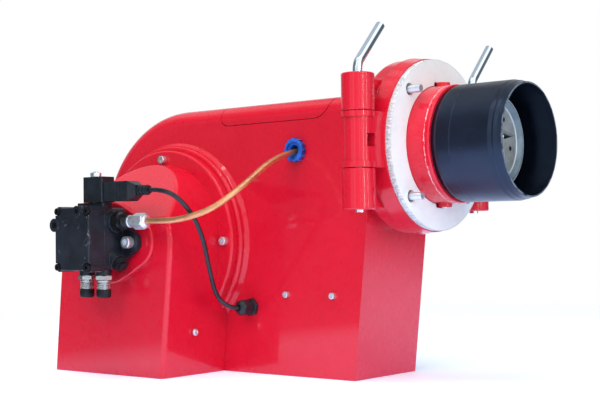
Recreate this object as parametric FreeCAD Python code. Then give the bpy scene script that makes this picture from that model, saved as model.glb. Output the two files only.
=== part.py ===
import FreeCAD
import Part
import math
import os

# Light-oil burner with a hinged boiler flange. Sizes are millimetres and degrees.
# +X runs along the flame tube towards the boiler, -Y is the side of the air intake and the pump,
# +Z is up. The origin is the centre of the gasket's face that lies against the boiler.

# General
axis_height = 300.0            # burner axis above the base
seat_gap = 0.3                 # between faces of pieces that part when something moves
run_clearance = 0.05           # radial clearance of shafts and hinge pins
wall = 6.0                     # casting wall

# Boiler flange, gasket, collar and studs
gasket_thickness = 8.0
gasket_radius = 110.0
flange_thickness = 22.0
flange_radius = 111.0
flange_back_radius = 114.0
collar_length = 32.0
collar_wall = 5.0
stud_circle = 188.0
stud_radius = 5.0
stud_reach = 17.0
stud_depth = 14.0
stud_root_radius = 4.3         # of the end screwed into the flange
stud_hole_radius = 8.0
set_screw_x = 6.6
set_screw_radius = 4.0
set_screw_pad_radius = 9.0
set_screw_pad_rise = 4.1

# Flame tube and combustion head
tube_radius = 74.2
tube_wall = 2.0
tube_spigot_radius = 70.2
tube_spigot_depth = 20.0
tube_length = 130.0
mouth_radius = 70.5
mouth_taper = 22.0
diffuser_x = 90.0
diffuser_radius = 56.0
diffuser_dish = 7.5
diffuser_cone = 8.5           # width of the conical rim
diffuser_sheet = 1.5
diffuser_eye = 14.0
louvre_count = 5
louvre_width = 12.5
louvre_angle = 11.0
vent_circle = 33.0
vent_radius = 2.2
line_radius = 8.0
line_bore = 5.0
line_rear_x = -121.7
line_front_x = 62.0
holder_length = 18.0
nozzle_length = 9.0
electrode_radius = 1.2
electrode_y = 9.0
electrode_z = 22.0
electrode_start = -6.0
insulator_length = 54.0
insulator_radius = 4.0
carrier_setback = 32.0

# Neck of the housing and the two pin hinges
neck_length = 36.0
neck_radius = 112.0
neck_root_radius = 101.0
neck_bore = 88.0
flare_length = 40.0
hinge_offset = 133.0
hinge_setback = 1.0
pin_radius = 6.0
pin_rise = 12.0
pin_handle = 71.6
pin_bend = 18.0
pin_angle = 43.2
knuckle_radius = 20.5
middle_knuckle_radius = 18.5
middle_rim_radius = 21.0
middle_rim_height = 7.0
middle_knuckle_height = 68.0
middle_knuckle_z = 2.0
upper_knuckle = 46.5
lower_knuckle = 50.5
knuckle_gap = 0.5

# Burner housing
body_width = 138.0
body_top = 68.0
body_edge = 22.0
volute_radius = 169.5
fan_setback = 341.0            # fan axis behind the front wall
fan_drop = 119.5               # fan axis below the burner axis
body_back = 161.0              # rear wall behind the fan axis
foot_setback = 23.0            # the front wall's foot behind its top
knee_drop = 90.0
duct_floor = 88.0
volute_floor = 118.5
tongue_offset = 100.0
bay_back = 106.0               # the lower bay's rear wall ahead of the fan axis

# Air intake ring, hood and damper
cone_seat_radius = 109.0
cone_throat = 66.0
cone_length = 29.0
cone_sheet = 1.5
eye_radius = 92.0
ring_rim = 27.4                # width of the ring's face outside the cone's seat
ring_height = 12.0
ring_fillet = 5.0
hood_flange_step = 6.4
hood_flange_thickness = 11.0
hood_screw_margin = 7.5        # bolt circle outside the cone's seat
hood_depth = 120.0
hood_arch_step = 0.5           # arch inside the cone's seat, clear of the screw heads
hood_lean = 5.5
hood_slope_start = 32.5        # where the 45 degree face begins, above the fan axis
hood_wall = 4.0
hood_edge = 6.0
damper_drop = 122.5
damper_inset = 55.0
damper_width = 80.0
damper_thickness = 2.0
damper_shaft_radius = 4.0
damper_bearing_radius = 9.0
damper_arm = 46.0

# Fan wheel, shaft and motor
fan_radius = 90.0
fan_inner_radius = 74.0
fan_width = 92.0
fan_blades = 36
shaft_radius = 8.0
motor_plate_radius = 112.0
motor_plate_thickness = 10.0
motor_radius = 62.0
motor_bore = 57.0
motor_length = 132.0
motor_fins = 28
motor_fin_height = 6.0
rotor_radius = 32.0
air_gap = 0.5
cowl_radius = 69.8
cowl_length = 52.0
cowl_sheet = 1.5
cowl_overlap = 16.0
cowl_slots = 16
bearing_radius = 18.0
bearing_width = 11.0
bearing_wall = 6.0
cooling_fan_radius = 52.0
cooling_fan_blades = 9
terminal_width = 72.0
terminal_length = 80.0
terminal_height = 26.0
terminal_lid = 8.0
terminal_setback = 25.0
capacitor_radius = 17.0
capacitor_length = 84.0
coupling_radius = 13.0
coupling_rod = 9.0
pump_shaft_radius = 5.5

# Pump
pump_boss_radius = 56.0
pump_boss_ear = 34.0
pump_ear_offset = 49.0
pump_ear_radius = 14.5
pump_boss_height = 8.0
pump_boss_edge = 3.0
pump_width = 67.0
pump_height = 83.0
pump_shift_x = 1.5
pump_shift_z = 5.0
pump_body_depth = 40.0
pump_cover_depth = 28.0
pump_hub_radius = 27.0
pump_flange_thickness = 8.0
outlet_y = -220.0
outlet_rise = 27.5
regulator_radius = 12.0
regulator_length = 32.0
regulator_flats = 19.0
cover_lug_radius = 6.5
adapter_length = 24.0
adapter_flats = 22.0
union_flats = 19.0
nipple_spacing = 33.0
nipple_shift = 2.5
nipple_setback = 28.0
nipple_flats = 21.0
nipple_radius = 9.6
nipple_end_radius = 8.0
nipple_reach = 33.0
cap_radius = 9.9
cap_height = 11.0
stem_shift = 11.0
stem_setback = 33.0
stem_radius = 5.0
coil_lift = 7.0                # underside above the pump's top
coil_length = 37.0
coil_depth = 23.0
coil_height = 34.0

# Oil pipe, solenoid lead and the fittings where they enter the housing
pipe_radius = 4.0
lead_radius = 3.0
bush_setback = 114.0
bush_neck_radius = 12.8
bush_hole = 7.0
bush_radius = 15.9
bush_depth = 8.0
bush_teeth = 12
gland_offset = 145.0
gland_drop = 90.5
gland_thread_radius = 8.0
gland_flats = 20.0
gland_length = 29.0
sensor_setback = 66.0
sensor_z = 8.0
sensor_radius = 7.0

# Screws, by the radius of their shanks
hatch_screw_shank = 2.5
hood_screw_shank = 3.5
motor_screw_shank = 3.0
bay_screw_shank = 2.6
pump_screw_shank = 4.9
cover_screw_head = 4.6

# Inspection hatch, controls
hatch_front = 58.0             # behind the front wall
hatch_length = 193.0
hatch_side_z = 40.7
hatch_thickness = 3.0
hatch_gap = 0.8
hatch_screw_inset = 9.0
cover_thickness = 4.0
control_length = 91.0
control_height = 62.0
control_depth = 52.0
control_rise = 62.0            # lower edge above the cover's
button_radius = 7.0
button_travel = 3.0
button_inset = 22.0
bay_screw_spacing = 78.0
bay_screw_setback = 56.0
bay_screw_z = -192.0
transformer_depth = 56.0
transformer_margin = 14.0
transformer_rise = 34.0
transformer_drop = 44.0

# Places that follow from the sizes
flange_front_x = -gasket_thickness
flange_back_x = flange_front_x - flange_thickness
neck_x = flange_back_x - seat_gap
front_x = flange_back_x - neck_length
foot_x = front_x - foot_setback
fan_x = front_x - fan_setback
fan_z = -fan_drop
rear_x = fan_x - body_back
base_z = -axis_height
half = body_width / 2
collar_radius = tube_spigot_radius + collar_wall + 0.2
set_screw_pad_top = collar_radius + set_screw_pad_rise
tube_seat_x = -tube_spigot_depth
ring_radius = cone_seat_radius + ring_rim
hood_flange_radius = ring_radius - hood_flange_step
hood_bolt_radius = cone_seat_radius + hood_screw_margin
hood_radius = cone_seat_radius - hood_arch_step
ring_y = -half - ring_height
hood_back_y = ring_y - seat_gap
hood_face_y = hood_back_y - hood_flange_thickness
hood_front_y = -half - hood_depth
pump_face_y = hood_front_y - pump_boss_height
pump_split_y = pump_face_y - pump_body_depth
pump_front_y = pump_split_y - pump_cover_depth
hinge_x = flange_back_x - hinge_setback
middle_top = middle_knuckle_z + middle_knuckle_height / 2
middle_bottom = middle_knuckle_z - middle_knuckle_height / 2
damper_y = hood_front_y + damper_inset
damper_z = fan_z - damper_drop
fan_back_y = half - wall - 25.0
fan_front_y = fan_back_y - fan_width
motor_face_y = half + motor_plate_thickness
motor_back_y = motor_face_y + motor_length
cowl_end_y = motor_back_y + cowl_length
pump_x = fan_x + pump_shift_x
pump_z = fan_z + pump_shift_z
pump_right = pump_x + pump_width / 2
pump_left = pump_x - pump_width / 2
pump_top = pump_z + pump_height / 2
pump_low = pump_z - pump_height / 2
outlet_z = fan_z + outlet_rise
adapter_x = pump_right + 6.0
nipple_x = fan_x + nipple_shift
nipple_y = pump_face_y - nipple_setback
nipple_low = pump_low - nipple_reach
stem_x = fan_x + stem_shift
stem_y = pump_face_y - stem_setback
coil_z0 = pump_top + coil_lift
bush_x = front_x - bush_setback
gland_x = fan_x + gland_offset
gland_z = fan_z - gland_drop
sensor_x = front_x - sensor_setback

# Centre lines chosen by hand, from the pump's end to the housing's
pipe_points = [(fan_x + 99, outlet_y, outlet_z), (fan_x + 157, outlet_y - 1, outlet_z),
               (bush_x - 28, outlet_y + 16, outlet_z + 13), (bush_x - 10, -half - 98, -50),
               (bush_x - 1, -half - 49, -14), (bush_x, -half + 3, 0), (bush_x, -27, 0),
               (bush_x + 23, 0, 0), (line_rear_x - 0.3, 0, 0)]
lead_points = [(fan_x + 112, outlet_y - 9, coil_z0 + 14), (fan_x + 145, outlet_y - 10, coil_z0 + 14),
               (gland_x + 19, outlet_y + 8, coil_z0 - 9), (gland_x + 17, -half - 115, -109),
               (gland_x + 2, -half - 86, gland_z + 52), (gland_x - 10, -half - 61, gland_z + 16),
               (gland_x - 3, -half - 43, gland_z + 1), (gland_x, -half - gland_length, gland_z)]
X = FreeCAD.Vector(1, 0, 0)
Y = FreeCAD.Vector(0, 1, 0)
Z = FreeCAD.Vector(0, 0, 1)


def point(x, y, z):
    return FreeCAD.Vector(x, y, z)


def cylinder(radius, length, start, direction):
    return Part.makeCylinder(radius, length, point(*start), direction)


def box(x0, x1, y0, y1, z0, z1):
    return Part.makeBox(x1 - x0, y1 - y0, z1 - z0, point(x0, y0, z0))


def join(shapes):
    return shapes[0].multiFuse(shapes[1:]).removeSplitter()


def outline(corners, place):
    # closed wire through 2D corners (a, b, radius); place turns (a, b) into a 3D point
    edges = []
    ends = []
    count = len(corners)
    for i in range(count):
        a, b, radius = corners[i]
        before = corners[i - 1]
        after = corners[(i + 1) % count]
        here = point(a, b, 0)
        back = (point(before[0], before[1], 0) - here).normalize()
        ahead = (point(after[0], after[1], 0) - here).normalize()
        if radius <= 0:
            ends.append((here, here, here))
            continue
        angle = back.getAngle(ahead) / 2
        reach = radius / math.tan(angle)
        middle = (back + ahead).normalize()
        ends.append((here + back * reach, here + middle * (radius / math.sin(angle) - radius),
                     here + ahead * reach))
    for i in range(count):
        first, mid, last = ends[i]
        if (first - last).Length > 1e-6:
            edges.append(Part.Arc(place(first.x, first.y), place(mid.x, mid.y),
                                  place(last.x, last.y)).toShape())
        following = ends[(i + 1) % count][0]
        if (following - last).Length > 1e-6:
            edges.append(Part.makeLine(place(last.x, last.y), place(following.x, following.y)))
    return Part.Wire(edges)


def plate_xz(corners, y0, y1):
    wire = outline(corners, lambda a, b: point(a, y0, b))
    return Part.Face(wire).extrude(point(0, y1 - y0, 0))


def plate_yz(corners, x0, x1):
    wire = outline(corners, lambda a, b: point(x0, a, b))
    return Part.Face(wire).extrude(point(x1 - x0, 0, 0))


def aim(shape, start, direction):
    # moves a shape drawn along +Z so that it starts at a point and runs along a direction
    turned = shape.copy()
    turned.Placement = FreeCAD.Placement(point(*start), FreeCAD.Rotation(Z, direction))
    return turned


def lathe(corners, start, direction):
    # solid of revolution; corners are (distance along, radius, corner radius)
    wire = outline([(r, along, c) for along, r, c in corners], lambda a, b: point(a, 0, b))
    return aim(Part.Face(wire).revolve(point(0, 0, 0), Z, 360), start, direction)


def hexagon(across_flats, length, start, direction, bore=0.0):
    corner = across_flats / math.sqrt(3)
    wire = Part.makePolygon([point(corner * math.cos(math.radians(60 * i)),
                                   corner * math.sin(math.radians(60 * i)), 0)
                             for i in range(7)])
    solid = Part.Face(wire).extrude(Z * length)
    if bore > 0:
        solid = solid.cut(Part.makeCylinder(bore, length))
    return aim(solid, start, direction)


def cap_screw(shank, length, start, direction):
    # socket screw whose head stands on the start point and whose shank goes the other way
    head = lathe([(0, 0, 0), (0, shank * 1.65, 0), (shank * 2, shank * 1.65, shank * 0.3), (shank * 2, 0, 0)],
                 (0, 0, 0), Z)
    socket = hexagon(shank * 1.7, shank * 1.2, (0, 0, shank), Z)
    body = cylinder(shank, length, (0, 0, -length), Z)
    return aim(join([head.cut(socket), body]), start, direction)


def turned(shape, angle, centre, axis):
    copy = shape.copy()
    copy.rotate(point(*centre), axis, angle)
    return copy


def ring_of(shape, count, centre, axis, first=0.0):
    return [turned(shape, first + 360.0 * i / count, centre, axis) for i in range(count)]


def round_edges(shape, radius, test):
    chosen = []
    for edge in shape.Edges:
        middle = edge.valueAt((edge.FirstParameter + edge.LastParameter) / 2)
        if test(middle, edge):
            chosen.append(edge)
    return shape.makeFillet(radius, chosen)


def swept(points, radius, name):
    # round bar along straight runs joined by tangent arcs, each as large as its two runs allow
    nodes = [point(*p) for p in points]
    edges = []
    start = nodes[0]
    for i in range(1, len(nodes) - 1):
        back = nodes[i - 1] - nodes[i]
        ahead = nodes[i + 1] - nodes[i]
        reach = 0.45 * min(back.Length, ahead.Length)
        back.normalize()
        ahead.normalize()
        half_turn = (math.pi - back.getAngle(ahead)) / 2
        bend = reach / math.tan(half_turn)
        first = nodes[i] + back * reach
        last = nodes[i] + ahead * reach
        middle = nodes[i] + (back + ahead).normalize() * (bend / math.cos(half_turn) - bend)
        edges.append(Part.LineSegment(start, first).toShape())
        edges.append(Part.Arc(first, middle, last).toShape())
        start = last
        print(name, "bend", i, "radius", round(bend, 1))
    edges.append(Part.LineSegment(start, nodes[-1]).toShape())
    path = Part.Wire(edges)
    section = Part.Wire([Part.Circle(nodes[0], nodes[1] - nodes[0], radius).toShape()])
    solid = path.makePipeShell([section], True, False)
    print(name, "length", round(path.Length, 1), "volume ratio",
          round(solid.Volume / (math.pi * radius ** 2 * path.Length), 4))
    return solid


def ear_plate(radius, ear_radius, offset, y0, y1):
    # round plate with a rounded ear to either side, about the fan axis
    lean = math.acos((radius - ear_radius) / offset)
    co = math.cos(lean)
    si = math.sin(lean)

    def at(cx, r, sx, sz):
        return point(fan_x + sx * (cx + r * co), y0, fan_z + sz * r * si)

    edges = [Part.Arc(at(0, radius, 1, 1), point(fan_x, y0, fan_z + radius), at(0, radius, -1, 1)).toShape(),
             Part.makeLine(at(0, radius, -1, 1), at(offset, ear_radius, -1, 1)),
             Part.Arc(at(offset, ear_radius, -1, 1), point(fan_x - offset - ear_radius, y0, fan_z),
                      at(offset, ear_radius, -1, -1)).toShape(),
             Part.makeLine(at(offset, ear_radius, -1, -1), at(0, radius, -1, -1)),
             Part.Arc(at(0, radius, -1, -1), point(fan_x, y0, fan_z - radius), at(0, radius, 1, -1)).toShape(),
             Part.makeLine(at(0, radius, 1, -1), at(offset, ear_radius, 1, -1)),
             Part.Arc(at(offset, ear_radius, 1, -1), point(fan_x + offset + ear_radius, y0, fan_z),
                      at(offset, ear_radius, 1, 1)).toShape(),
             Part.makeLine(at(offset, ear_radius, 1, 1), at(0, radius, 1, 1))]
    return Part.Face(Part.Wire(edges)).extrude(point(0, y1 - y0, 0))


# Burner housing

def housing_form(inset):
    # outer shape of the body casting, or the same shape set in all round
    top = body_top - inset
    width = half - inset
    back = rear_x + inset
    front = front_x - inset
    lift = inset if inset > 0 else 0
    form = plate_xz([(back, base_z - lift, 0), (back, top, volute_radius - inset), (front, top, 0),
                     (front, -knee_drop, 0), (front - foot_setback, base_z - lift, 0)], -width, width)

    def upper(middle, edge):
        return abs(abs(middle.y) - width) < 0.01 and (middle.z > top - 1 or middle.x < back + 150) \
            and middle.z > base_z + 1

    return round_edges(form, body_edge - inset, upper)


def hinge_places():
    return [(hinge_x, -hinge_offset), (hinge_x, hinge_offset)]


def ring_form(grow):
    # the ring cast on the housing's side, or the same ring grown all round
    foot = ring_radius + ring_fillet + grow
    rim = 4 if grow == 0 else 0
    return lathe([(0, 0, 0), (0, foot, 0), (ring_fillet + grow, ring_radius + grow, ring_fillet),
                  (ring_height + grow, ring_radius + grow, rim), (ring_height + grow, 0, 0)],
                 (fan_x, -half, fan_z), -Y)


def neck():
    shape = lathe([(0, 0, 0), (0, neck_radius, 2), (seat_gap + neck_length / 2, neck_radius, 6),
                   (neck_length, neck_root_radius, 5), (neck_length + flare_length, half - 3, 0),
                   (neck_length + flare_length, 0, 0)], (neck_x, 0, 0), -X)
    parts = [shape]
    for x, y in hinge_places():
        side = 1 if y > 0 else -1
        for low, high in ((middle_top + knuckle_gap, middle_top + knuckle_gap + upper_knuckle),
                          (middle_bottom - knuckle_gap - lower_knuckle, middle_bottom - knuckle_gap)):
            barrel = cylinder(knuckle_radius, high - low, (x, y, low), Z)
            barrel = round_edges(barrel, 2, lambda m, e: abs(m.z - high) < 0.01 or abs(m.z - low) < 0.01)
            arm_end = y - side * (hinge_offset - neck_radius * 0.62)
            arm = box(x - knuckle_radius * 0.9, neck_x - 2.5, min(y, arm_end), max(y, arm_end),
                      low + 3, high - 4)
            parts += [barrel, arm]
    return parts


def air_space():
    # volute round the fan, and the duct that leads forward from its tongue
    inner_top = body_top - wall
    left = rear_x + wall
    centre_z = inner_top - (volute_radius - wall)
    floor = fan_z - volute_floor
    first = centre_z - floor
    right = fan_x + tongue_offset
    second = right - (left + first)
    space = plate_xz([(left, inner_top, volute_radius - wall), (left, floor, first), (right, floor, second),
                      (right, -duct_floor, 6), (front_x - wall, -duct_floor, 0),
                      (front_x - wall, inner_top, 0)],
                     -half + wall, half - wall)

    def lengthwise(middle, edge):
        return abs(abs(middle.y) - half + wall) < 0.01 and middle.x < front_x - wall - 1

    return round_edges(space, body_edge - wall, lengthwise)


def underside_pocket():
    # hollow below the volute, open at the base
    left = rear_x + wall
    right = fan_x + tongue_offset
    floor = fan_z - volute_floor
    first = body_top - volute_radius - floor
    high = floor + 48
    hollow = box(left, right, -half + wall, half - wall, base_z - 1, high)
    hollow = round_edges(hollow, body_edge - wall,
                         lambda m, e: abs(m.x - left) < 0.01 and abs(m.y) > half - wall - 1
                         and abs(m.z - (high + base_z - 1) / 2) < 1)
    return hollow.cut(plate_xz([(left - wall, high + 90, 0), (left - wall, floor - wall, first + wall),
                                (right + wall, floor - wall, right - left - first + wall),
                                (right + wall, high + 90, 0)], -half, half))


def lower_bay():
    back = fan_x + bay_back
    top = -duct_floor - wall
    bay = plate_xz([(back, base_z + wall, 4), (back, top, 4), (front_x - wall - 2, top, 4),
                    (foot_x - wall - 2, base_z + wall, 4)], -half + wall, half + 1)
    posts = [cylinder(bay_screw_shank + 3.5, 24, (x, half - 24, z), Y) for x, y, z in cover_screw_places()]
    return bay.cut(posts[0].multiFuse(posts[1:]))


def hatch_profile(grow, y0, y1, z1):
    front = front_x - hatch_front + grow
    back = front - hatch_length - 2 * grow
    low = hatch_side_z - grow
    return plate_xz([(back, low, 14), (front, low, 28), (front, z1, 0), (back, z1, 0)], y0, y1)


def hatch_screw_places():
    front = front_x - hatch_front
    return [(front - hatch_screw_inset, 0, body_top), (front - hatch_length + hatch_screw_inset, 0, body_top)]


def fan_housing():
    solid = join([housing_form(0)] + neck() + [ring_form(0)])
    bore = lathe([(-1, 0, 0), (-1, neck_bore, 0), (neck_length + 1, neck_bore, 0),
                  (neck_length + flare_length - 4, half - wall - 3, 0),
                  (neck_length + flare_length - 4, 0, 0)],
                 (neck_x, 0, 0), -X)
    cuts = [air_space(), bore, lower_bay()]
    cuts.append(cylinder(eye_radius, 40, (fan_x, ring_y - 1, fan_z), Y))
    cuts.append(cylinder(cone_seat_radius, 4.2, (fan_x, ring_y - 0.2, fan_z), Y))
    cuts.append(cylinder(fan_radius + 5, wall + 2, (fan_x, half - wall - 1, fan_z), Y))
    cuts.append(underside_pocket())
    for x, y in hinge_places():
        cuts.append(cylinder(pin_radius + run_clearance, 260, (x, y, middle_bottom - 100), Z))
        cuts.append(cylinder(middle_rim_radius + 1.5, middle_knuckle_height + 2 * knuckle_gap,
                             (x, y, middle_bottom - knuckle_gap), Z))
    cuts.append(cylinder(bush_neck_radius, wall + 2, (bush_x, -half - 1, 0), Y))
    cuts.append(cylinder(gland_thread_radius, wall + 2, (gland_x, -half - 1, gland_z), Y))
    cuts.append(cylinder(sensor_radius, wall + 2, (sensor_x, half - wall - 1, sensor_z), Y))
    cuts.append(hatch_profile(hatch_gap, -half - 1, half + 1, body_top + 5)
                .cut(housing_form(hatch_thickness + 0.2)))
    front = front_x - hatch_front
    cuts.append(box(front - hatch_length + 20, front - 20, -half + 24, half - 24, body_top - 20, body_top + 1))
    for place in hatch_screw_places():
        cuts.append(cylinder(hatch_screw_shank + 0.3, wall + 2, (place[0], place[1], body_top - wall - 1), Z))
    for x, z in bay_screw_places():
        cuts.append(cylinder(bay_screw_shank + 0.1, wall + 1, (x, -half - 0.5, z), Y))
    for place in hood_screw_places():
        cuts.append(cylinder(hood_screw_shank + 0.1, 14, (place[0], ring_y - 1, place[2]), Y))
    for place in motor_bolt_places():
        cuts.append(cylinder(motor_screw_shank + 0.1, wall + 1, (place[0], half - wall - 0.5, place[2]), Y))
    for place in cover_screw_places():
        cuts.append(cylinder(bay_screw_shank + 0.1, 12, (place[0], half - 11, place[2]), Y))
    return solid.cut(cuts[0].multiFuse(cuts[1:]))


# Fittings on the housing

def bay_screw_places():
    first = front_x - bay_screw_setback
    return [(first, bay_screw_z), (first - bay_screw_spacing, bay_screw_z)]


def hood_screw_places():
    # none at the bottom, where the damper swings
    return [(fan_x + hood_bolt_radius * math.cos(math.radians(a)), hood_face_y,
             fan_z + hood_bolt_radius * math.sin(math.radians(a))) for a in (0, 90, 180)]


def motor_bolt_places():
    reach = motor_plate_radius - 8
    return [(fan_x + reach * math.cos(math.radians(a)), half + motor_plate_thickness,
             fan_z + reach * math.sin(math.radians(a))) for a in (45, 135, 225, 315)]


def pipe_bush():
    # nylon bush with a castellated rim, a step and a plain hole
    body = lathe([(0, bush_hole, 0), (0, bush_radius - 2, 0), (2, bush_radius - 1, 0),
                  (bush_depth, bush_radius - 1, 1.5), (bush_depth, bush_hole + 4, 0),
                  (bush_depth - 3, bush_hole + 3, 0), (bush_depth - 3, bush_hole, 0)],
                 (bush_x, -half - 0.2, 0), -Y)
    tooth = box(bush_x + bush_radius - 2.5, bush_x + bush_radius, -half + 0.8 - bush_depth, -half - 0.2,
                -1.9, 1.9)
    sleeve = cylinder(bush_neck_radius - 0.3, wall + 2, (bush_x, -half - 0.2, 0), Y)
    sleeve = sleeve.cut(cylinder(bush_hole, wall + 4, (bush_x, -half - 1, 0), Y))
    return join([body, sleeve] + ring_of(tooth, bush_teeth, (bush_x, 0, 0), Y))


def cable_gland():
    lock = hexagon(gland_flats + 2, 6, (gland_x, -half, gland_z), -Y)
    thread = cylinder(gland_thread_radius - 0.1, wall + 3, (gland_x, -half, gland_z), Y)
    collar = cylinder(gland_flats / 2 - 0.5, 3, (gland_x, -half - 6, gland_z), -Y)
    cap = hexagon(gland_flats, gland_length - 14, (gland_x, -half - 9, gland_z), -Y)
    dome = lathe([(0, 0, 0), (0, gland_flats / 2 - 0.4, 0), (5, 6, 2), (5, 0, 0)],
                 (gland_x, -half + 5 - gland_length, gland_z), -Y)
    return join([lock, thread, collar, cap, dome])


def solenoid_lead():
    return swept(lead_points, lead_radius, "solenoid lead")


def oil_pipe():
    return swept(pipe_points, pipe_radius, "oil pipe")


def bay_screws():
    side = [cap_screw(bay_screw_shank, wall, (x, -half, z), -Y) for x, z in bay_screw_places()]
    cover = [cap_screw(bay_screw_shank, 10, (x, y + cover_thickness, z), Y)
             for x, y, z in cover_screw_places()]
    return Part.makeCompound(side + cover)


def hatch():
    form = hatch_profile(0, -half - 1, half + 1, body_top + 5).common(housing_form(0))
    lid = form.cut(housing_form(hatch_thickness))
    for place in hatch_screw_places():
        lid = lid.cut(cylinder(hatch_screw_shank + 0.1, 10, (place[0], place[1], body_top - 6), Z))
    return lid


def hatch_screws():
    return Part.makeCompound([cap_screw(hatch_screw_shank, hatch_thickness + 5, place, Z)
                              for place in hatch_screw_places()])


# Air intake

def hood_form(inset, y0, y1):
    # arch about the fan axis with leaning sides down to the base
    radius = hood_radius - inset
    lean = math.radians(hood_lean)
    drop = inset if inset > 0 else 0
    right = point(fan_x + radius * math.cos(lean), y0, fan_z - radius * math.sin(lean))
    left = point(fan_x - radius * math.cos(lean), y0, fan_z + radius * math.sin(lean))
    foot_z = base_z - drop
    right_foot = point(right.x - (right.z - foot_z) * math.tan(lean), y0, foot_z)
    left_foot = point(left.x - (left.z - foot_z) * math.tan(lean), y0, foot_z)
    arch = Part.Arc(right, point(fan_x, y0, fan_z + radius), left).toShape()
    wire = Part.Wire([Part.makeLine(right_foot, right), arch, Part.makeLine(left, left_foot),
                      Part.makeLine(left_foot, right_foot)])
    return Part.Face(wire).extrude(point(0, y1 - y0, 0))


def slope_cutter(inset):
    # removes everything in front of the 45 degree face
    shift = inset * (math.sqrt(2) - 1)
    y0 = hood_front_y
    start = fan_z + hood_slope_start - shift
    reach = 2 * hood_radius
    return plate_yz([(y0 - 50, start - 50, 0), (y0 + reach, start + reach, 0), (y0 - 50, start + reach, 0)],
                    fan_x - reach, fan_x + reach)


def hood_side_x(side, z, inset):
    # x of the leaning side wall at a height, side 1 is towards the boiler
    radius = hood_radius - inset
    lean = math.radians(hood_lean)
    x = fan_x + side * radius * math.cos(lean)
    tangent_z = fan_z - side * radius * math.sin(lean)
    return x - (tangent_z - z) * math.tan(lean)


def intake_hood():
    shell = hood_form(0, hood_front_y, -half - seat_gap).cut(slope_cutter(0))

    def front_rim(middle, edge):
        on_front = abs(middle.y - hood_front_y) < 0.01 and middle.z > base_z + 1
        on_slope = middle.z > fan_z + hood_slope_start - 0.1 and middle.y < hood_face_y \
            and abs(middle.z - middle.y - (fan_z + hood_slope_start - hood_front_y)) < 0.01
        return on_front or on_slope

    shell = round_edges(shell, hood_edge, front_rim)
    shell = shell.cut(ring_form(seat_gap))
    rim = lathe([(0, 0, 0), (0, hood_flange_radius, 0), (hood_flange_thickness, hood_flange_radius, 4),
                 (hood_flange_thickness, 0, 0)], (fan_x, hood_back_y, fan_z), -Y)
    boss = ear_plate(pump_boss_radius, pump_boss_ear, pump_ear_offset, pump_face_y, hood_front_y + 1)
    boss = round_edges(boss, pump_boss_edge, lambda m, e: abs(m.y - pump_face_y) < 0.01)
    outer = hood_side_x(-1, damper_z, 0)
    inner = hood_side_x(1, damper_z, hood_wall)
    bearing = cylinder(damper_bearing_radius, 16, (outer - 8, damper_y, damper_z), X)
    stop = cylinder(8, 12, (inner - 6, damper_y, damper_z), X)
    hollow = hood_form(hood_wall, hood_front_y + hood_wall, -half + 1)
    hollow = hollow.cut(slope_cutter(hood_wall * math.sqrt(2)))
    spare = cylinder(hood_flange_radius, hood_flange_thickness, (fan_x, hood_face_y, fan_z), Y)
    spare = spare.cut(cylinder(cone_seat_radius - 9, hood_flange_thickness, (fan_x, hood_face_y, fan_z), Y))
    hollow = hollow.cut(spare)
    solid = join([shell, rim, boss]).cut(hollow)
    solid = join([solid, bearing, stop.common(hood_form(0, hood_front_y, -half))])
    cuts = [cylinder(cone_seat_radius - 9, hood_flange_thickness + 2, (fan_x, hood_face_y - 1, fan_z), Y),
            cylinder(pump_hub_radius + 0.1, 7, (fan_x, pump_face_y - 1, fan_z), Y),
            cylinder(coupling_radius + 7, 30, (fan_x, pump_face_y - 1, fan_z), Y),
            cylinder(damper_shaft_radius + run_clearance, inner + 2 - (outer - 20),
                     (outer - 20, damper_y, damper_z), X)]
    for side in (-1, 1):
        place = (fan_x + side * pump_ear_offset, pump_face_y - 1, fan_z)
        cuts.append(cylinder(pump_screw_shank + 0.1, 20, place, Y))
    for place in hood_screw_places():
        cuts.append(cylinder(hood_screw_shank + 0.1, 14, (place[0], place[1] - 0.5, place[2]), Y))
    return solid.cut(cuts[0].multiFuse(cuts[1:]))


def hood_screws():
    return Part.makeCompound([cap_screw(hood_screw_shank, hood_flange_thickness + 6, place, -Y)
                       for place in hood_screw_places()])


def inlet_cone():
    # spun steel bellmouth seated in the ring
    seat = cone_seat_radius - seat_gap
    bend = cone_length - 7
    return lathe([(0, seat, 0), (0, eye_radius - 8, 0), (8, cone_throat + 9, 10), (bend, cone_throat, 8),
                  (cone_length, cone_throat, 0), (cone_length, cone_throat + cone_sheet, 0),
                  (bend, cone_throat + cone_sheet, 7), (9, cone_throat + 11, 9), (3.8, eye_radius - 6, 0),
                  (3.8, seat, 0)], (fan_x, ring_y + 0.2, fan_z), Y)


def damper_flap():
    low = damper_z - damper_width / 2
    high = damper_z + damper_width / 2
    x0 = hood_side_x(-1, high, hood_wall) + 3
    x1 = hood_side_x(1, low, hood_wall) - 9
    blade = box(x0, x1, damper_y - damper_width / 2, damper_y + damper_width / 2,
                damper_z - damper_thickness / 2, damper_z + damper_thickness / 2)
    shaft_start = hood_side_x(-1, damper_z, 0) - 16
    shaft_end = hood_side_x(1, damper_z, hood_wall) + 1
    shaft = cylinder(damper_shaft_radius, shaft_end - shaft_start, (shaft_start, damper_y, damper_z), X)
    return join([blade, shaft])


def damper_lever():
    x = hood_side_x(-1, damper_z, 0) - 13
    top = damper_z + damper_arm
    hub = cylinder(damper_bearing_radius, 5, (x - 5, damper_y, damper_z), X)
    arm = plate_yz([(damper_y - 6, damper_z, 0), (damper_y - 4, top, 4), (damper_y + 4, top, 4),
                    (damper_y + 6, damper_z, 0)], x - 4, x - 1)
    knob = cylinder(5, 10, (x - 14, damper_y, top - 8), X)
    return join([hub, arm, knob]).cut(cylinder(damper_shaft_radius, 30, (x - 20, damper_y, damper_z), X))


# Fan, shaft and motor

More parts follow.
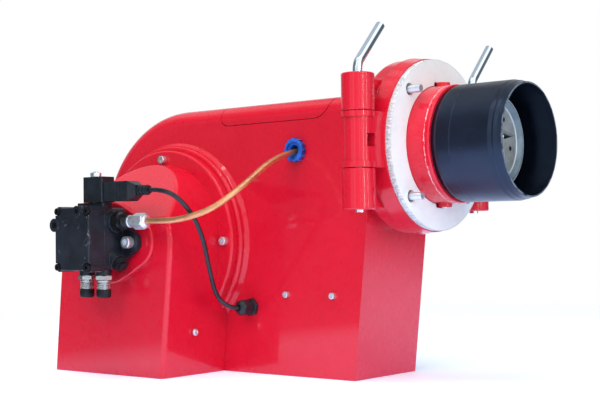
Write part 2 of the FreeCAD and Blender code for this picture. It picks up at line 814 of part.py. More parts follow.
def fan_wheel():
    # squirrel-cage wheel: forward-curved blades between a back plate and a front ring
    sweep = math.radians(9)
    inner = point(fan_inner_radius, fan_front_y, 0)
    outer = point(fan_radius * math.cos(sweep), fan_front_y, fan_radius * math.sin(sweep))
    span = (outer - inner).normalize()
    bulge = point(span.z, 0, -span.x) * 3.2
    middle = (inner + outer) * 0.5 + bulge
    skin = point(span.z, 0, -span.x) * 1.2
    front = Part.Arc(inner, middle, outer).toShape()
    back = Part.Arc(outer + skin, middle + skin, inner + skin).toShape()
    section = Part.Wire([front, Part.makeLine(outer, outer + skin), back, Part.makeLine(inner + skin, inner)])
    blade = Part.Face(section).extrude(point(0, fan_width, 0))
    blade.translate(point(fan_x, 0, fan_z))
    back_plate = lathe([(0, 0, 0), (0, fan_radius + 1, 0), (2, fan_radius + 1, 0), (2, 26, 0),
                        (6, 22, 0), (6, 0, 0)],
                       (fan_x, fan_back_y, fan_z), Y)
    ring = lathe([(0, fan_inner_radius - 1, 0), (0, fan_radius + 1, 0), (2, fan_radius + 1, 0),
                  (2, fan_inner_radius - 1, 0)], (fan_x, fan_front_y, fan_z), Y)
    hub = cylinder(18, 34, (fan_x, fan_back_y - 26, fan_z), Y)
    blades = ring_of(blade, fan_blades, (fan_x, 0, fan_z), Y)
    wheel = join([back_plate, ring, hub] + blades)
    return wheel.cut(cylinder(shaft_radius, 300, (fan_x, -150, fan_z), Y))


def pump_coupling():
    # plastic link from the motor shaft to the pump's shaft
    start = fan_front_y - 8
    end = pump_face_y + 14
    sleeve = cylinder(coupling_radius, 24, (fan_x, start - 6, fan_z), Y)
    rod = cylinder(coupling_rod, start - end, (fan_x, end, fan_z), Y)
    socket = cylinder(coupling_radius, 18, (fan_x, end - 2, fan_z), Y)
    link = join([sleeve, rod, socket])
    link = link.cut(cylinder(shaft_radius + run_clearance, 40, (fan_x, start, fan_z), Y))
    return link.cut(cylinder(pump_shaft_radius + run_clearance, 16, (fan_x, end - 4, fan_z), Y))


def pump_shaft():
    return cylinder(pump_shaft_radius, 24, (fan_x, pump_face_y + 2, fan_z), Y)


def motor_screws():
    return Part.makeCompound([cap_screw(motor_screw_shank, motor_plate_thickness + wall, place, Y)
                       for place in motor_bolt_places()])


def motor_housing():
    # one casting: flange, finned tube and front bearing seat; no fins under the terminal box
    plate = lathe([(0, 0, 0), (0, motor_plate_radius, 0), (motor_plate_thickness, motor_plate_radius, 2),
                   (motor_plate_thickness, 0, 0)], (fan_x, half, fan_z), Y)
    spigot = cylinder(fan_radius + 4.8, wall, (fan_x, half - wall, fan_z), Y)
    shell = cylinder(motor_radius, motor_length, (fan_x, motor_face_y, fan_z), Y)
    fin = box(fan_x + motor_radius - 2, fan_x + motor_radius + motor_fin_height, motor_face_y - 1,
              motor_back_y - 3, fan_z - 1.2, fan_z + 1.2)
    step = 360.0 / motor_fins
    fins = []
    for i in range(motor_fins):
        if abs(step * i - 270) > 38:
            fins.append(turned(fin, step * i, (fan_x, 0, fan_z), Y))
    back = motor_face_y + terminal_setback
    seat = box(fan_x - terminal_width / 2, fan_x + terminal_width / 2, back, back + terminal_length,
               fan_z + motor_radius - 14, fan_z + motor_radius + 4)
    shell = join([plate, shell, seat] + fins)
    shell = shell.cut(cylinder(motor_bore, motor_length + 2, (fan_x, motor_face_y, fan_z), Y))
    bearing_seat = cylinder(bearing_radius + bearing_wall, bearing_width + 3,
                            (fan_x, motor_face_y - 1, fan_z), Y)
    cuts = [cylinder(shaft_radius + 1, 60, (fan_x, half - wall - 1, fan_z), Y),
            cylinder(bearing_radius, bearing_width + 6, (fan_x, motor_face_y + 2, fan_z), Y)]
    for place in motor_bolt_places():
        cuts.append(cylinder(motor_screw_shank + 0.1, motor_plate_thickness + 2,
                             (place[0], half - 1, place[2]), Y))
    x, y, z = capacitor_place()
    cuts.append(cylinder(4, motor_plate_thickness, (x, half + 2, z), Y))
    return join([shell, spigot, bearing_seat]).cut(cuts[0].multiFuse(cuts[1:]))


def motor_stator():
    length = motor_length - 60
    start = motor_face_y + 30
    core = cylinder(motor_bore, length, (fan_x, start, fan_z), Y)
    ends = lathe([(-11, rotor_radius + 6, 0), (-11, motor_bore - 5, 3), (length + 11, motor_bore - 5, 3),
                  (length + 11, rotor_radius + 6, 0)], (fan_x, start, fan_z), Y)
    bore = cylinder(rotor_radius + air_gap, length + 30, (fan_x, start - 15, fan_z), Y)
    return join([core, ends]).cut(bore)


def motor_rotor():
    # laminated core pressed on the shaft that also drives the fan and the pump
    start = fan_front_y - 8
    shaft = cylinder(shaft_radius, cowl_end_y - 22 - start, (fan_x, start, fan_z), Y)
    core = cylinder(rotor_radius, motor_length - 60, (fan_x, motor_face_y + 30, fan_z), Y)
    return join([shaft, core])


def motor_bearings():
    ring = cylinder(bearing_radius, bearing_width, (fan_x, motor_face_y + 2, fan_z), Y)
    ring = ring.cut(cylinder(shaft_radius + run_clearance, bearing_width, (fan_x, motor_face_y + 2, fan_z), Y))
    rear = ring.copy()
    rear.translate(point(0, motor_length - 2 - bearing_width, 0))
    return Part.makeCompound([ring, rear])


def motor_rear_shield():
    shield = lathe([(0, 0, 0), (0, motor_radius, 0), (6, motor_radius, 2), (6, 30, 0), (3, 0, 0)],
                   (fan_x, motor_back_y, fan_z), Y)
    seat = cylinder(bearing_radius + bearing_wall, bearing_width + 3,
                    (fan_x, motor_back_y - bearing_width - 3, fan_z), Y)
    solid = join([shield, seat])
    solid = solid.cut(cylinder(bearing_radius, bearing_width + 4,
                               (fan_x, motor_back_y - bearing_width - 4, fan_z), Y))
    return solid.cut(cylinder(shaft_radius + 1, 30, (fan_x, motor_back_y - 10, fan_z), Y))


def motor_cooling_fan():
    start = motor_back_y + 14
    hub = cylinder(16, 16, (fan_x, start, fan_z), Y)
    disc = cylinder(cooling_fan_radius - 4, 2, (fan_x, start, fan_z), Y)
    blade = box(fan_x + 14, fan_x + cooling_fan_radius, start, start + 15, fan_z - 1, fan_z + 1)
    wheel = join([hub, disc] + ring_of(blade, cooling_fan_blades, (fan_x, 0, fan_z), Y))
    return wheel.cut(cylinder(shaft_radius + run_clearance, 30, (fan_x, start - 5, fan_z), Y))


def motor_cowl():
    # pressed cap with a ring of air slots in its end
    start = motor_back_y - cowl_overlap
    length = cowl_end_y - start
    skin = cowl_radius - cowl_sheet
    cap = lathe([(0, 0, 0), (0, cowl_radius, 0), (length, cowl_radius, 9), (length, 0, 0)],
                (fan_x, start, fan_z), Y)
    inner = lathe([(-1, 0, 0), (-1, skin, 0), (length - cowl_sheet, skin, 8), (length - cowl_sheet, 0, 0)],
                  (fan_x, start, fan_z), Y)
    near = fan_x + 0.29 * cowl_radius
    far = fan_x + 0.77 * cowl_radius
    slot = plate_xz([(near, fan_z - 3, 2.9), (far, fan_z - 3, 2.9), (far, fan_z + 3, 2.9),
                     (near, fan_z + 3, 2.9)],
                    cowl_end_y - 6, cowl_end_y + 1)
    slots = ring_of(slot, cowl_slots, (fan_x, 0, fan_z), Y)
    return cap.cut(inner.multiFuse(slots))


def terminal_box():
    x0 = fan_x - terminal_width / 2
    x1 = fan_x + terminal_width / 2
    y0 = motor_face_y + terminal_setback
    y1 = y0 + terminal_length
    floor = fan_z + motor_radius + 4
    roof = floor + terminal_height
    edge = 1.5
    base = plate_xy([(x0, y0, 4), (x1, y0, 4), (x1, y1, 4), (x0, y1, 4)], floor, roof)
    lid = plate_xy([(x0 - edge, y0 - edge, 5), (x1 + edge, y0 - edge, 5), (x1 + edge, y1 + edge, 5),
                    (x0 - edge, y1 + edge, 5)], roof, roof + terminal_lid)
    lid = round_edges(lid, 2, lambda m, e: m.z > roof + terminal_lid - 0.1)
    gland = hexagon(18, 12, (x1, (y0 + y1) / 2, floor + terminal_height / 2), X)
    return join([base, lid, gland])


def plate_xy(corners, z0, z1):
    wire = outline(corners, lambda a, b: point(a, b, z0))
    return Part.Face(wire).extrude(point(0, 0, z1 - z0))


def capacitor_place():
    return (fan_x - motor_radius - motor_fin_height - capacitor_radius - 1.0, motor_face_y, fan_z + 12)


def run_capacitor():
    can = lathe([(0, 0, 0), (0, capacitor_radius, 1), (capacitor_length, capacitor_radius, 3),
                 (capacitor_length, 0, 0)], capacitor_place(), Y)
    x, y, z = capacitor_place()
    return join([can, cylinder(4, 9, (x, y - 8, z), Y)])


# Pump and its fittings

regulator_direction = point(0.83, 0, -0.56).normalize()


def pump_body():
    block = plate_xz([(pump_left, pump_low, 9), (pump_right, pump_low, 9), (pump_right, pump_top, 9),
                      (pump_left, pump_top, 9)], pump_split_y, pump_face_y - 1)
    flange = ear_plate(pump_boss_radius - 18, pump_ear_radius, pump_ear_offset,
                       pump_face_y - pump_flange_thickness, pump_face_y)
    hub = cylinder(pump_hub_radius, 5.8, (fan_x, pump_face_y, fan_z), Y)
    outlet = cylinder(14.5, 12, (pump_right - 6, outlet_y, outlet_z), X)
    regulator_start = (fan_x + 14, outlet_y + 3, fan_z - 9)
    regulator = cylinder(regulator_radius, regulator_length, regulator_start, regulator_direction)
    valve_seat = plate_xy([(pump_left + 12, pump_split_y, 3), (pump_right - 3, pump_split_y, 3),
                           (pump_right - 3, stem_y + 14, 8), (pump_left + 12, stem_y + 14, 8)],
                          pump_top - 9, coil_z0 - seat_gap)
    ports = [cylinder(nipple_flats / 2, 12, (x, nipple_y, pump_low - 7), Z) for x in nipple_places()]
    solid = join([block, flange, hub, outlet, regulator, valve_seat] + ports)
    cuts = [cylinder(pump_screw_shank + 0.1, 12, (fan_x + side * pump_ear_offset, pump_face_y - 10, fan_z), Y)
            for side in (-1, 1)]
    cuts.append(cylinder(pump_shaft_radius + run_clearance, 16, (fan_x, pump_face_y - 8, fan_z), Y))
    cuts.append(cylinder(stem_radius + 0.3, coil_lift + 4, (stem_x, stem_y, pump_top - 2), Z))
    return solid.cut(cuts[0].multiFuse(cuts[1:]))


def cover_corners():
    return [(pump_left + 4.5, pump_low + 4.5), (pump_right - 4.5, pump_low + 4.5),
            (pump_right - 4.5, pump_top - 4.5), (pump_left + 4.5, pump_top - 4.5)]


def pump_cover():
    # front casting with round lugs at the corners and two gauge ports in its face
    block = plate_xz([(pump_left, pump_low, 8), (pump_right, pump_low, 8), (pump_right, pump_top, 8),
                      (pump_left, pump_top, 8)], pump_front_y, pump_split_y)
    block = round_edges(block, 2, lambda m, e: abs(m.y - pump_front_y) < 0.01)
    lugs = [cylinder(cover_lug_radius, pump_cover_depth - 4, (x, pump_front_y + 4, z), Y)
            for x, z in cover_corners()]
    room = [cylinder(cover_lug_radius + 0.3, 5, (x, pump_front_y - 1, z), Y) for x, z in cover_corners()]
    ports = [cylinder(r, pump_cover_depth - 3, (x, pump_front_y - 1, z), Y) for x, z, r in port_places()]
    solid = join([block.cut(room[0].multiFuse(room[1:])), *lugs, *ports])
    holes = [cylinder(r - 3.5, 6, (x, pump_front_y - 2, z), Y) for x, z, r in port_places()]
    return solid.cut(holes[0].multiFuse(holes[1:]))


def port_places():
    return [(pump_left - 0.5, pump_z + 19, 9.0), (fan_x + 12.5, pump_top - 5, 7.5)]


def pump_port_plugs():
    plugs = []
    for x, z, r in port_places():
        plug = cylinder(r - 3.5, 3.5, (x, pump_front_y + 0.5, z), Y)
        plugs.append(plug.cut(hexagon(r * 0.55, 2.5, (x, pump_front_y, z), Y)))
    return Part.makeCompound(plugs)


def pump_cover_screws():
    screws = []
    for x, z in cover_corners():
        head = cylinder(cover_screw_head, 4.8, (x, pump_front_y - 0.8, z), Y)
        screws.append(head.cut(hexagon(cover_screw_head, 3, (x, pump_front_y - 1, z), Y)))
    return Part.makeCompound(screws)


def pump_screws():
    places = [(fan_x + side * pump_ear_offset, pump_face_y - pump_flange_thickness, fan_z) for side in (-1, 1)]
    return Part.makeCompound([cap_screw(pump_screw_shank, pump_flange_thickness + 10, place, -Y)
                              for place in places])


def regulator_cap():
    start = point(fan_x + 14, outlet_y + 3, fan_z - 9) + regulator_direction * regulator_length
    cap = hexagon(regulator_flats, 8, tuple(start), regulator_direction)
    tip = cylinder(6, 3, tuple(start + regulator_direction * 8), regulator_direction)
    return join([cap, tip])


def outlet_adapter():
    # black hex nipple screwed into the outlet, with its plain end
    body = hexagon(adapter_flats, 15, (adapter_x, outlet_y, outlet_z), X)
    end = cylinder(9, adapter_length - 15, (adapter_x + 15, outlet_y, outlet_z), X)
    return join([body, end])


def pipe_unions():
    # union nut at the pump's outlet and the one on the nozzle line
    start = adapter_x + adapter_length
    length = pipe_points[0][0] - start
    groove = cylinder(8.5, 4, (start, outlet_y, outlet_z), X)
    nut = hexagon(union_flats, length - 6, (start + 4, outlet_y, outlet_z), X)
    nose = lathe([(0, 0, 0), (0, 8.6, 0), (1.9, 7, 0), (1.9, 0, 0)],
                 (start + length - 2, outlet_y, outlet_z), X)
    far = hexagon(17, 14, (line_rear_x - 14.3, 0, 0), X)
    far = far.cut(cylinder(pipe_radius + run_clearance, 20, (line_rear_x - 17, 0, 0), X))
    return Part.makeCompound([join([groove, nut, nose]), far])


def nipple_places():
    return [nipple_x - nipple_spacing / 2, nipple_x + nipple_spacing / 2]


def pump_nipples():
    # hexagon, ringed body and a thinner end that the push-on cap covers
    solids = []
    for x in nipple_places():
        nut = hexagon(nipple_flats, 7, (x, nipple_y, pump_low - 14), Z)
        shoulder = nipple_low - 3.7 + cap_height
        body = cylinder(nipple_radius, pump_low - 14 - shoulder, (x, nipple_y, shoulder), Z)
        end = cylinder(nipple_end_radius, shoulder - nipple_low, (x, nipple_y, nipple_low), Z)
        solids.append(join([nut, body, end]))
    return Part.makeCompound(solids)


def port_cap(x):
    # push-on cap over the end of a hose nipple
    low = nipple_low - 4
    cap = lathe([(0, 0, 0), (0, cap_radius, 2), (cap_height, cap_radius, 0), (cap_height, 0, 0)],
                (x, nipple_y, low), Z)
    return cap.cut(cylinder(nipple_end_radius + seat_gap, cap_height, (x, nipple_y, nipple_low), Z))


def solenoid_stem():
    return cylinder(stem_radius, coil_z0 + coil_height + 6 - pump_top + 2, (stem_x, stem_y, pump_top - 2), Z)


def coil_bounds():
    x0 = stem_x - 13.0
    return x0, x0 + coil_length, stem_y - coil_depth / 2, stem_y + coil_depth / 2


def solenoid_coil():
    x0, x1, y0, y1 = coil_bounds()
    coil = box(x0, x1, y0, y1, coil_z0, coil_z0 + coil_height)
    coil = round_edges(coil, 1.5, lambda m, e: abs(m.z - coil_z0 - coil_height / 2) < 0.01)
    return coil.cut(cylinder(stem_radius + run_clearance, coil_height + 2, (stem_x, stem_y, coil_z0 - 1), Z))


def solenoid_nut():
    top = coil_z0 + coil_height
    nut = join([hexagon(13, 6, (stem_x, stem_y, top + 3), Z), cylinder(7, 3, (stem_x, stem_y, top), Z)])
    return nut.cut(cylinder(stem_radius, 6, (stem_x, stem_y, top), Z))


def coil_plug():
    # right-angle plug: square head, ribbed grip, taper and ringed strain relief
    x0, x1, y0, y1 = coil_bounds()
    y, z = lead_points[0][1], lead_points[0][2]
    head = box(x1, x1 + 23, y - 9.5, y + 9.5, z - 13, z + 12)
    grip = box(x1 + 23, x1 + 46, y - 10, y + 10, z - 13.5, z + 12.5)
    grooves = [box(x1 + 26 + 5 * i, x1 + 28 + 5 * i, y - 12, y - 9.2, z - 9, z + 8) for i in range(4)]
    taper = Part.makeLoft([square_wire(x1 + 46, y, z, 10, 12.5),
                           square_wire(x1 + 58, y, z, 6.5, 7)], True, True)
    relief = cylinder(5.4, lead_points[0][0] - x1 - 56.2, (x1 + 56, y, z), X)
    rings = [cylinder(6.6, 3, (x1 + 60 + 5.5 * i, y, z), X) for i in range(3)]
    return join([head, grip.cut(grooves[0].multiFuse(grooves[1:])), taper, relief] + rings)


def square_wire(x, y, z, dy, dz):
    return Part.makePolygon([point(x, y - dy, z - dz), point(x, y + dy, z - dz), point(x, y + dy, z + dz),
                             point(x, y - dy, z + dz), point(x, y - dy, z - dz)])


# Controls in and on the lower bay

def cover_bounds():
    return fan_x + bay_back - 4, foot_x - 3, base_z + 3, -duct_floor - 2


def cover_screw_places():
    back, front, low, high = cover_bounds()
    rear = fan_x + motor_plate_radius + 8
    return [(rear, half, low + 8), (front - 10, half, low + 8), (front + 8, half, high - 8),
            (rear, half, high - 8)]


def control_bounds():
    back, front, low, high = cover_bounds()
    x = (back + front) / 2 - control_length / 2
    z = low + control_rise
    return x, x + control_length, z, z + control_height


def controls_cover():
    back, front, low, high = cover_bounds()
    plate = plate_xz([(back, low, 4), (front, low, 4), (front + foot_setback, high, 4), (back, high, 4)],
                     half, half + cover_thickness)
    x0, x1, z0, z1 = control_bounds()
    cuts = [box(x0 + 8, x1 - 8, half - 1, half + cover_thickness + 1, z0 + 8, z1 - 8),
            cylinder(motor_plate_radius + 1, cover_thickness + 2, (fan_x, half - 1, fan_z), Y)]
    for x, y, z in cover_screw_places():
        cuts.append(cylinder(bay_screw_shank + 0.1, 10, (x, half - 1, z), Y))
    return plate.cut(cuts[0].multiFuse(cuts[1:]))


def button_place():
    x0, x1, z0, z1 = control_bounds()
    return x0 + button_inset, half + cover_thickness + control_depth, (z0 + z1) / 2


def control_box():
    x0, x1, z0, z1 = control_bounds()
    y = half + cover_thickness
    case = plate_xz([(x0, z0, 3), (x1, z0, 3), (x1, z1, 3), (x0, z1, 3)], y, y + control_depth)
    case = round_edges(case, 2.5, lambda m, e: abs(m.y - y - control_depth) < 0.01)
    tail = box(x0 + 9, x1 - 9, half - 12, y + 1, z0 + 9, z1 - 9)
    bx, by, bz = button_place()
    collar = cylinder(button_radius + 3, 4, (bx, by - 1, bz), Y)
    return join([case, tail, collar]).cut(cylinder(button_radius + 0.3, 12, (bx, by - 7, bz), Y))


def reset_button():
    bx, by, bz = button_place()
    low = by - 7 + button_travel + seat_gap
    return lathe([(0, 0, 0), (0, button_radius, 0), (by + 6 - low, button_radius, 1.5), (by + 6 - low, 0, 0)],
                 (bx, low, bz), Y)


def ignition_transformer():
    places = bay_screw_places()
    x0 = places[1][0] - transformer_margin
    x1 = places[0][0] + transformer_margin
    z = bay_screw_z
    y0 = -half + wall
    case = plate_xz([(x0, z - transformer_drop, 5), (x1, z - transformer_drop, 5),
                     (x1, z + transformer_rise, 5),
                     (x0, z + transformer_rise, 5)], y0 + 2, y0 + 2 + transformer_depth)
    feet = plate_xz([(x0 - 4, z - 12, 3), (x1 + 4, z - 12, 3), (x1 + 4, z + 12, 3),
                     (x0 - 4, z + 12, 3)], y0, y0 + 2)
    towers = [cylinder(10, 22, (x0 + (x1 - x0) * share,
                               y0 + 2 + transformer_depth / 2, z + transformer_rise), Z)
              for share in (0.25, 0.75)]
    solid = join([case, feet] + towers)
    holes = [cylinder(bay_screw_shank + 0.1, 4, (x, y0 - 1, zz), Y) for x, zz in places]
    return solid.cut(holes[0].multiFuse(holes[1:]))


def flame_sensor():
    # light cell in a holder that is pushed through the duct wall
    x, z = sensor_x, sensor_z
    stem = cylinder(sensor_radius - run_clearance, wall + 6, (x, half - wall - 6, z), Y)
    head = lathe([(0, 0, 0), (0, 12, 0), (5, 12, 1), (5, 9, 0), (20, 8, 2), (20, 0, 0)], (x, half, z), Y)
    return join([stem, head])


# Boiler flange and combustion head

def flange_knuckles():
    parts = []
    for x, y in hinge_places():
        side = 1 if y > 0 else -1
        height = middle_knuckle_height
        barrel = cylinder(middle_knuckle_radius, height, (x, y, middle_bottom), Z)
        rims = [cylinder(middle_rim_radius, middle_rim_height, (x, y, z), Z)
                for z in (middle_bottom, middle_top - middle_rim_height)]
        edge = y - side * (hinge_offset - flange_radius + 12)
        web = box(flange_back_x + 1, flange_front_x - 3, min(y, edge), max(y, edge), middle_bottom, middle_top)
        parts += [barrel, web] + rims
    return parts


def boiler_flange():
    disc = lathe([(0, 0, 0), (0, flange_back_radius, 1.5), (flange_thickness, flange_radius, 0),
                  (flange_thickness, 0, 0)], (flange_back_x, 0, 0), X)
    collar = lathe([(0, 0, 0), (0, collar_radius, 0), (collar_length - flange_front_x, collar_radius, 2),
                    (collar_length - flange_front_x, 0, 0)], (flange_front_x, 0, 0), X)
    pads = [cylinder(set_screw_pad_radius, set_screw_pad_top, (set_screw_x, 0, 0), Z * side)
            for side in (1, -1)]
    solid = join([disc, collar] + pads + flange_knuckles())
    cuts = [cylinder(tube_spigot_radius + 0.2, 200, (tube_seat_x, 0, 0), X),
            cylinder(tube_spigot_radius - 4, 60, (flange_back_x - 20, 0, 0), X)]
    for place in stud_places():
        start = (flange_front_x - stud_depth, place[0], place[1])
        cuts.append(cylinder(stud_root_radius + 0.02, stud_depth, start, X))
    for side in (1, -1):
        cuts.append(cylinder(set_screw_radius, set_screw_pad_top + 2, (set_screw_x, 0, 0), Z * side))
    slack = 1.0
    for x, y in hinge_places():
        cuts.append(cylinder(pin_radius + run_clearance, middle_knuckle_height + 2,
                             (x, y, middle_bottom - 1), Z))
        cuts.append(box(x, x + 40, y - 6, y + 6, middle_knuckle_z - 9, middle_knuckle_z + 7)
                    .common(cylinder(middle_rim_radius, 40, (x, y, middle_knuckle_z - 20), Z)))
    cuts.append(box(hinge_x - 40, hinge_x, hinge_offset - pin_radius - slack - 0.2,
                    hinge_offset + pin_radius + 0.2,
                    middle_bottom - 1, middle_top + 1))
    return solid.cut(cuts[0].multiFuse(cuts[1:]))


def stud_places():
    reach = stud_circle / 2
    return [(reach * math.cos(math.radians(a)), reach * math.sin(math.radians(a)))
            for a in (45, 135, 225, 315)]


def flange_gasket():
    ring = cylinder(gasket_radius, gasket_thickness, (flange_front_x, 0, 0), X)
    cuts = [cylinder(collar_radius + 0.5, gasket_thickness + 2, (flange_front_x - 1, 0, 0), X)]
    for y, z in stud_places():
        cuts.append(cylinder(stud_hole_radius, gasket_thickness + 2, (flange_front_x - 1, y, z), X))
    room = set_screw_pad_radius + 0.5
    top = set_screw_pad_top + 0.5
    cuts.append(box(flange_front_x - 1, 1, -room, room, -top, top))
    return ring.cut(cuts[0].multiFuse(cuts[1:]))


def boiler_studs():
    # the end inside the flange is drawn at its thread's root
    reach = stud_reach - flange_front_x
    side = [(-stud_depth, 0, 0), (-stud_depth, stud_root_radius, 0), (0, stud_root_radius, 0),
            (0, stud_radius, 0), (reach, stud_radius, 0), (reach, 0, 0)]
    return Part.makeCompound([lathe(side, (flange_front_x, y, z), X) for y, z in stud_places()])


def tube_set_screws():
    screws = []
    for side in (1, -1):
        screw = cylinder(set_screw_radius, set_screw_pad_top + 1.5 - tube_spigot_radius,
                         (set_screw_x, 0, side * tube_spigot_radius), Z * side)
        socket = hexagon(4, 3, (set_screw_x, 0, side * (set_screw_pad_top - 1)), Z * side)
        screws.append(screw.cut(socket))
    return Part.makeCompound(screws)


def flame_tube():
    # spigot, rounded shoulder, plain barrel and a mouth that necks in over two steps
    start = tube_seat_x
    shoulder = collar_length + 1.5
    neck_in = tube_length - 17

    def along(x):
        return x - start

    inner = tube_radius - tube_wall
    return lathe([(0, tube_spigot_radius, 0), (along(shoulder), tube_spigot_radius, 1),
                  (along(shoulder + 6), tube_radius, 6), (along(neck_in), tube_radius, 4),
                  (along(neck_in + 5), tube_radius - 1.3, 2), (along(neck_in + 7), tube_radius - 1.3, 1.5),
                  (along(neck_in + 11), tube_radius - 2.8, 1.5),
                  (along(tube_length - 3), mouth_radius + 0.4, 1),
                  (along(tube_length), mouth_radius, 0.8), (along(tube_length), mouth_radius - tube_wall, 0),
                  (along(neck_in - mouth_taper), inner, 20), (along(shoulder + 7), inner, 3),
                  (along(shoulder + 2), tube_spigot_radius - tube_wall, 2),
                  (0, tube_spigot_radius - tube_wall, 0)], (start, 0, 0), X)


def head_spider():
    # three-armed star that centres the nozzle line in the flange
    x = flange_back_x + 3
    rim = cylinder(tube_spigot_radius - 4, 4, (x, 0, 0), X)
    rim = rim.cut(cylinder(tube_spigot_radius - 8, 4, (x, 0, 0), X))
    hub = cylinder(14, 12, (x, 0, 0), X)
    arm = box(x, x + 4, 8, tube_spigot_radius - 6, -5, 5)
    star = join([rim, hub] + ring_of(arm, 3, (0, 0, 0), X, 90))
    return star.cut(cylinder(line_radius + run_clearance, 30, (x - 5, 0, 0), X))


def nozzle_line():
    # steel line with a hexagon at the rear and the nozzle holder at the front
    pipe = cylinder(line_radius, line_front_x - line_rear_x, (line_rear_x, 0, 0), X)
    collar = hexagon(19, 10, (line_rear_x + 6, 0, 0), X)
    holder = hexagon(19, holder_length, (line_front_x, 0, 0), X)
    bore = cylinder(line_bore, line_front_x - line_rear_x - 8, (line_rear_x + 8, 0, 0), X)
    return join([pipe, collar, holder]).cut(bore)


def oil_nozzle():
    x = line_front_x + holder_length
    tip = lathe([(0, 0, 0), (0, 7.5, 0), (nozzle_length - 4, 7.5, 1), (nozzle_length - 1, 4, 1),
                 (nozzle_length - 1, 0, 0)], (x, 0, 0), X)
    return tip.cut(cylinder(0.8, 3, (x + nozzle_length - 3, 0, 0), X))


def diffuser():
    # dished disc with a conical rim; each louvre is a triangle pressed back along its upper side
    radius = diffuser_radius
    crease = radius - diffuser_cone
    skin = diffuser_sheet
    dish = lathe([(-diffuser_dish, diffuser_eye, 0), (-diffuser_dish, crease, 2), (-skin, radius - 2, 1),
                  (-skin, radius, 0), (0, radius, 0), (0, radius - 2.4, 1),
                  (skin - diffuser_dish, crease - 0.6, 2), (skin - diffuser_dish, diffuser_eye, 0)],
                 (diffuser_x, 0, 0), X)
    back = diffuser_x - diffuser_dish
    near = (diffuser_eye + 3.5, 0.5)
    far = (crease - 1.5, 0.5)
    heel = (diffuser_eye + 2.5, louvre_width)
    gap = plate_yz([(*near, 0), (*far, 0), (*heel, 0)], back - 1, back + skin + 1)
    flap = plate_yz([(*near, 0), (*far, 0), (*heel, 0)], back, back + 1)
    fold = point(0, far[0] - heel[0], far[1] - heel[1]).normalize()
    flap.rotate(point(back, heel[0], heel[1]), fold, 42)
    rim = plate_yz([(far[0], far[1] - 0.5, 0), (far[0] + 1.5, far[1] + 0.5, 0), (heel[0], heel[1] + 1.5, 0),
                    (heel[0], heel[1] - 0.5, 0)], back, back + 1)
    vents = [cylinder(vent_radius, 8, (back - 3, vent_circle, 0), X)]
    step = 360.0 / louvre_count
    cuts = ring_of(gap, louvre_count, (0, 0, 0), X, louvre_angle) \
        + ring_of(vents[0], louvre_count, (0, 0, 0), X, louvre_angle - step / 3)
    disc = dish.cut(cuts[0].multiFuse(cuts[1:]))
    return join([disc] + ring_of(flap, louvre_count, (0, 0, 0), X, louvre_angle)
                + ring_of(rim, louvre_count, (0, 0, 0), X, louvre_angle))


def head_carrier():
    # clamp on the nozzle line that holds both electrodes and carries the diffuser on three rods
    x = line_front_x - carrier_setback
    back = diffuser_x - diffuser_dish
    ring = cylinder(line_radius + 5, 10, (x, 0, 0), X)
    block = plate_yz([(-15, 4, 2), (15, 4, 2), (15, electrode_z + 6, 3), (-15, electrode_z + 6, 3)], x, x + 8)
    rod = cylinder(2, back - x - 5, (x + 5, diffuser_eye + 2.2, 0), X)
    foot = box(x, x + 8, line_radius + 2, diffuser_eye + 4.2, -3, 3)
    # three rods end between the louvres, clear of the electrodes
    step = 360.0 / louvre_count
    arms = [turned(rod.fuse(foot), louvre_angle + (turn + 0.76) * step, (0, 0, 0), X) for turn in (1, 3, 4)]
    solid = join([ring, block] + arms)
    cuts = [cylinder(line_radius + run_clearance, 20, (x - 5, 0, 0), X)]
    for side in (-1, 1):
        cuts.append(cylinder(insulator_radius + run_clearance, 14,
                             (x - 3, side * electrode_y, electrode_z), X))
    return solid.cut(cuts[0].multiFuse(cuts[1:]))


def electrodes():
    rods = []
    back = diffuser_x - diffuser_dish
    for side in (-1, 1):
        route = [(electrode_start - 8, side * electrode_y, electrode_z),
                 (electrode_start + insulator_length + 14, side * electrode_y, electrode_z),
                 (back, side * 4, 10.5), (back + 9, side * 2.2, 6)]
        rods.append(swept(route, electrode_radius, "electrode"))
    return Part.makeCompound(rods)


def electrode_insulators():
    tubes = []
    bore = electrode_radius + run_clearance
    neck_end = insulator_length - 4
    for side in (-1, 1):
        start = (electrode_start, side * electrode_y, electrode_z)
        body = lathe([(0, bore, 0), (0, insulator_radius, 1), (neck_end, insulator_radius, 0),
                      (neck_end, 3.2, 0),
                      (insulator_length, 3.2, 1), (insulator_length, bore, 0)], start, X)
        tubes.append(body)
    return Part.makeCompound(tubes)


def hinge_pin(y):
    # straight pin with its handle bent over towards +Y
    bottom = middle_bottom - knuckle_gap - lower_knuckle - 3
    top = middle_top + knuckle_gap + upper_knuckle + pin_rise
    turn = math.radians(pin_angle)
    reach = pin_bend * math.tan(turn / 2)
    corner = point(hinge_x, y, top)
    first = corner - Z * reach
    slant = point(0, math.sin(turn), math.cos(turn))
    last = corner + slant * reach
    inward = (slant - Z).normalize()
    middle = corner + inward * (pin_bend / math.cos(turn / 2) - pin_bend)
    path = Part.Wire([Part.makeLine(point(hinge_x, y, bottom), first), Part.Arc(first, middle, last).toShape(),
                      Part.makeLine(last, corner + slant * pin_handle)])
    section = Part.Wire([Part.Circle(point(hinge_x, y, bottom), Z, pin_radius).toShape()])
    return path.makePipeShell([section], True, False)


